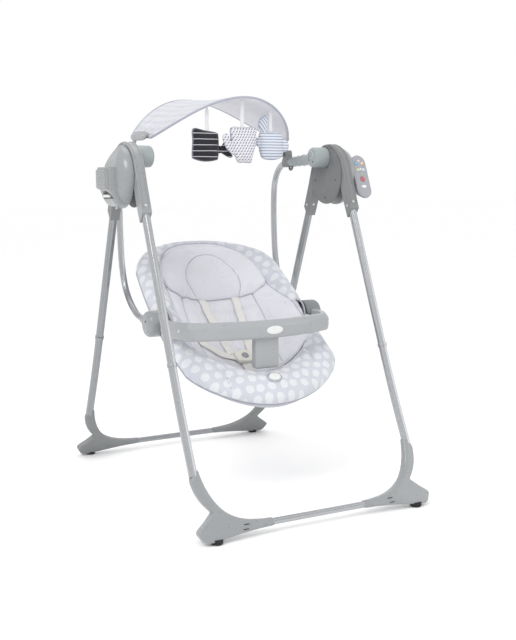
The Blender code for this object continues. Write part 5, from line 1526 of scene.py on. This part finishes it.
# Toys as (x, top, body outline, limb outlines, how far the limbs sit behind), outlines in millimetres
TOYS = {
    "toy_block": (
        -0.091, 0.933,
        [(-40, 3), (-6, -1), (26, -6), (31, -14), (32, -40), (30, -70), (22, -77), (-10, -80),
         (-38, -74), (-44, -66), (-42, -30)],
        [[(22, -34), (40, -40), (50, -30), (60, -36), (66, -52), (74, -66), (66, -70), (52, -64),
          (40, -58), (22, -60)]], 0.005),
    "toy_elephant": (
        -0.001, 0.939,
        [(-33, 0), (0, 1), (36, 1), (40, -20), (38, -45), (28, -74), (24, -89), (4, -89), (-14, -88),
         (-20, -76), (-32, -58), (-34, -30)],
        [[(-22, -34), (-36, -34), (-43, -18), (-52, -16), (-59, -24), (-54, -42), (-44, -58), (-22, -70)]],
        -0.004),
    "toy_fish": (
        0.094, 0.931,
        [(-32, -2), (-6, 0), (18, 0), (34, -10), (37, -34), (35, -62), (20, -71), (-4, -73), (-26, -68),
         (-34, -48), (-36, -24)],
        [[(-26, -6), (-36, 16), (-32, 33), (-20, 42), (-9, 40), (-10, 20), (-12, -6)],
         [(-30, -14), (-43, -18), (-46, -26), (-42, -36), (-30, -40)],
         [(30, -18), (48, -22), (54, -32), (52, -46), (42, -52), (30, -48)]], 0.0),
}


def stuffed(outline, half, place, seed):
    """A stuffed shape: a seamed outline that swells towards its middle, with soft dents."""
    line = np.array(spline(outline, 7, closed=True)) / 1000
    middle = line.mean(0)
    rows, uvs, seams = [], [], []
    for sign, shares in ((-1, np.linspace(0.02, 0.99, 16)), (0, (1.0,)), (1, np.linspace(0.99, 0.02, 16))):
        for share in shares:
            deep = half * (1 - share ** 2.6) ** 0.55 if sign else 0.0
            row = []
            for a, b in middle + (line - middle) * share:
                dent = 0.0011 * noise.noise(Vector((a * 45, b * 45, seed + sign)))
                row.append(place @ Vector((a, sign * max(0.0, deep + dent * (1 - share)), b)))
                uvs.append((a, b))
                seams.append((1 - share) * 0.03)
            rows.append(row)
    points, faces, _ = skin(rows)
    return points, faces, uvs, seams


def toy(name):
    """A hanging toy: body and limbs, its ribbon, and a buttonhole bar where the ribbon enters the canopy."""
    x, top_z, outline, limbs, offset = TOYS[name]
    top = hang_point(x)
    place = Matrix.Translation((x, top.y, top_z))
    parts = [stuffed(outline, 0.0138, place, 1.0)]
    parts += [stuffed(limb, 0.0072, place @ Matrix.Translation((0, offset, 0)), 5.0) for limb in limbs]
    for i, (points, faces, uvs, seams) in enumerate(parts):
        if (name, i) == ("toy_fish", 1):     # the ear's stripes run aslant
            uvs = [(u * 0.6 - v * 0.8, u * 0.8 + v * 0.6) for u, v in uvs]
        part, replaced = ("body", name) if i == 0 else (f"limb_{i}", ())
        made = piece(f"{name}_{part}", points, faces, name, f"{name}_body", replaced, uvs, 80,
                     {"seam": seams, "along": [0.0] * len(points)})
    half = [(-0.005, -0.0007), (-0.0025, -0.0009), (0.0025, -0.0009), (0.005, -0.0007)]
    section = half + [(a, -b) for a, b in half[::-1]]
    rings = []
    for z in np.linspace(top_z - 0.006, top.z - 0.0016, 14):
        sway = 0.0012 * sin((z - top_z) * 70)
        gather = min(1.0, 0.05 + (top.z - z) / 0.0105)    # it narrows where it enters the buttonhole
        rings.append([Vector((x + a * gather, top.y + b + sway, z)) for a, b in section])
    show(f"{name}_ribbon", rings, "ribbon", f"{name}_body")
    bar = [Vector((x + a, top.y - 0.0002, top.z + 0.0034)) for a in np.linspace(-0.0072, 0.0072, 5)]
    show(f"{name}_buttonhole", tube_rings(bar, circle(0.0012, 12), up=(0, 0, 1)), "binding", "toy_bar")


for name in TOYS:
    toy(name)


# ---------------------------------------------------------------- inner pieces, floor, light, camera

INNER = {"axle_bearing_left": "white_part", "axle_bearing_right": "white_part", "battery_upper": "cell",
         "battery_lower": "cell", "circuit_board": "board", "speaker": "black_and_hole_shade", "drive_coil": "copper",
         "magnet_arm": "steel"}
for node, material in INNER.items():
    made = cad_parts[node]
    made.data.materials.clear()
    made.data.materials.append(look[material])

FLOOR_HALF, FLOOR_Z = 40, -0.0004
corners = [(x * FLOOR_HALF, y * FLOOR_HALF, FLOOR_Z) for x, y in ((-1, -1), (1, -1), (1, 1), (-1, 1))]
floor = bpy.data.meshes.new("floor")
floor.from_pydata(corners, [], [(0, 1, 2, 3)])
ground = bpy.data.objects.new("floor", floor)
bpy.context.scene.collection.objects.link(ground)
shade = Shade("floor_white", 0.6)
shade.colour(shade.mix(shade.noise(0.8, 2.0), (0.99, 0.99, 0.992), (1.0, 1.0, 1.0)))
floor.materials.append(shade.material)

world = bpy.data.worlds.new("studio")
world.use_nodes = True
world.node_tree.nodes["Background"].inputs["Color"].default_value = (1.0, 1.0, 1.0, 1.0)
world.node_tree.nodes["Background"].inputs["Strength"].default_value = 1.0
bpy.context.scene.world = world

LIGHTS_AIM = Vector((0, 0, 0.6))
CAMERA_PLACE = Vector((-1.2023, -2.3938, 0.797))
CAMERA_YAW, CAMERA_PITCH, CAMERA_ROLL, CAMERA_LENS = radians(27.918), radians(7.715), radians(-0.464), 56.72


def softbox(name, place, size, power):
    """A square area light that looks at the middle of the swing."""
    lamp = bpy.data.lights.new(name, "AREA")
    lamp.shape, lamp.size, lamp.energy = "SQUARE", size, power
    made = bpy.data.objects.new(name, lamp)
    made.location = place
    made.rotation_euler = (Vector(place) - LIGHTS_AIM).to_track_quat("Z", "Y").to_euler()
    bpy.context.scene.collection.objects.link(made)


softbox("key_light", (-2.2, -1.6, 3.0), 1.2, 40)
softbox("fill_light", (2.6, -2.2, 1.6), 1.6, 10)
softbox("top_light", (0.2, 0.6, 3.4), 1.6, 10)

level, drop = cos(CAMERA_PITCH), sin(CAMERA_PITCH)
forward = Vector((sin(CAMERA_YAW) * level, cos(CAMERA_YAW) * level, -drop))
right = Vector((cos(CAMERA_YAW), -sin(CAMERA_YAW), 0))
up = right.cross(forward)
across = right * cos(CAMERA_ROLL) + up * sin(CAMERA_ROLL)
above = up * cos(CAMERA_ROLL) - right * sin(CAMERA_ROLL)
lens = bpy.data.cameras.new("camera")
lens.sensor_fit, lens.sensor_height, lens.lens = "VERTICAL", 36.0, CAMERA_LENS
camera = bpy.data.objects.new("camera", lens)
turn = Matrix((across, above, -forward)).transposed().to_4x4()
camera.matrix_world = Matrix.Translation(CAMERA_PLACE) @ turn
bpy.context.scene.collection.objects.link(camera)
bpy.context.scene.camera = camera

bpy.context.scene.view_settings.view_transform = "Standard"
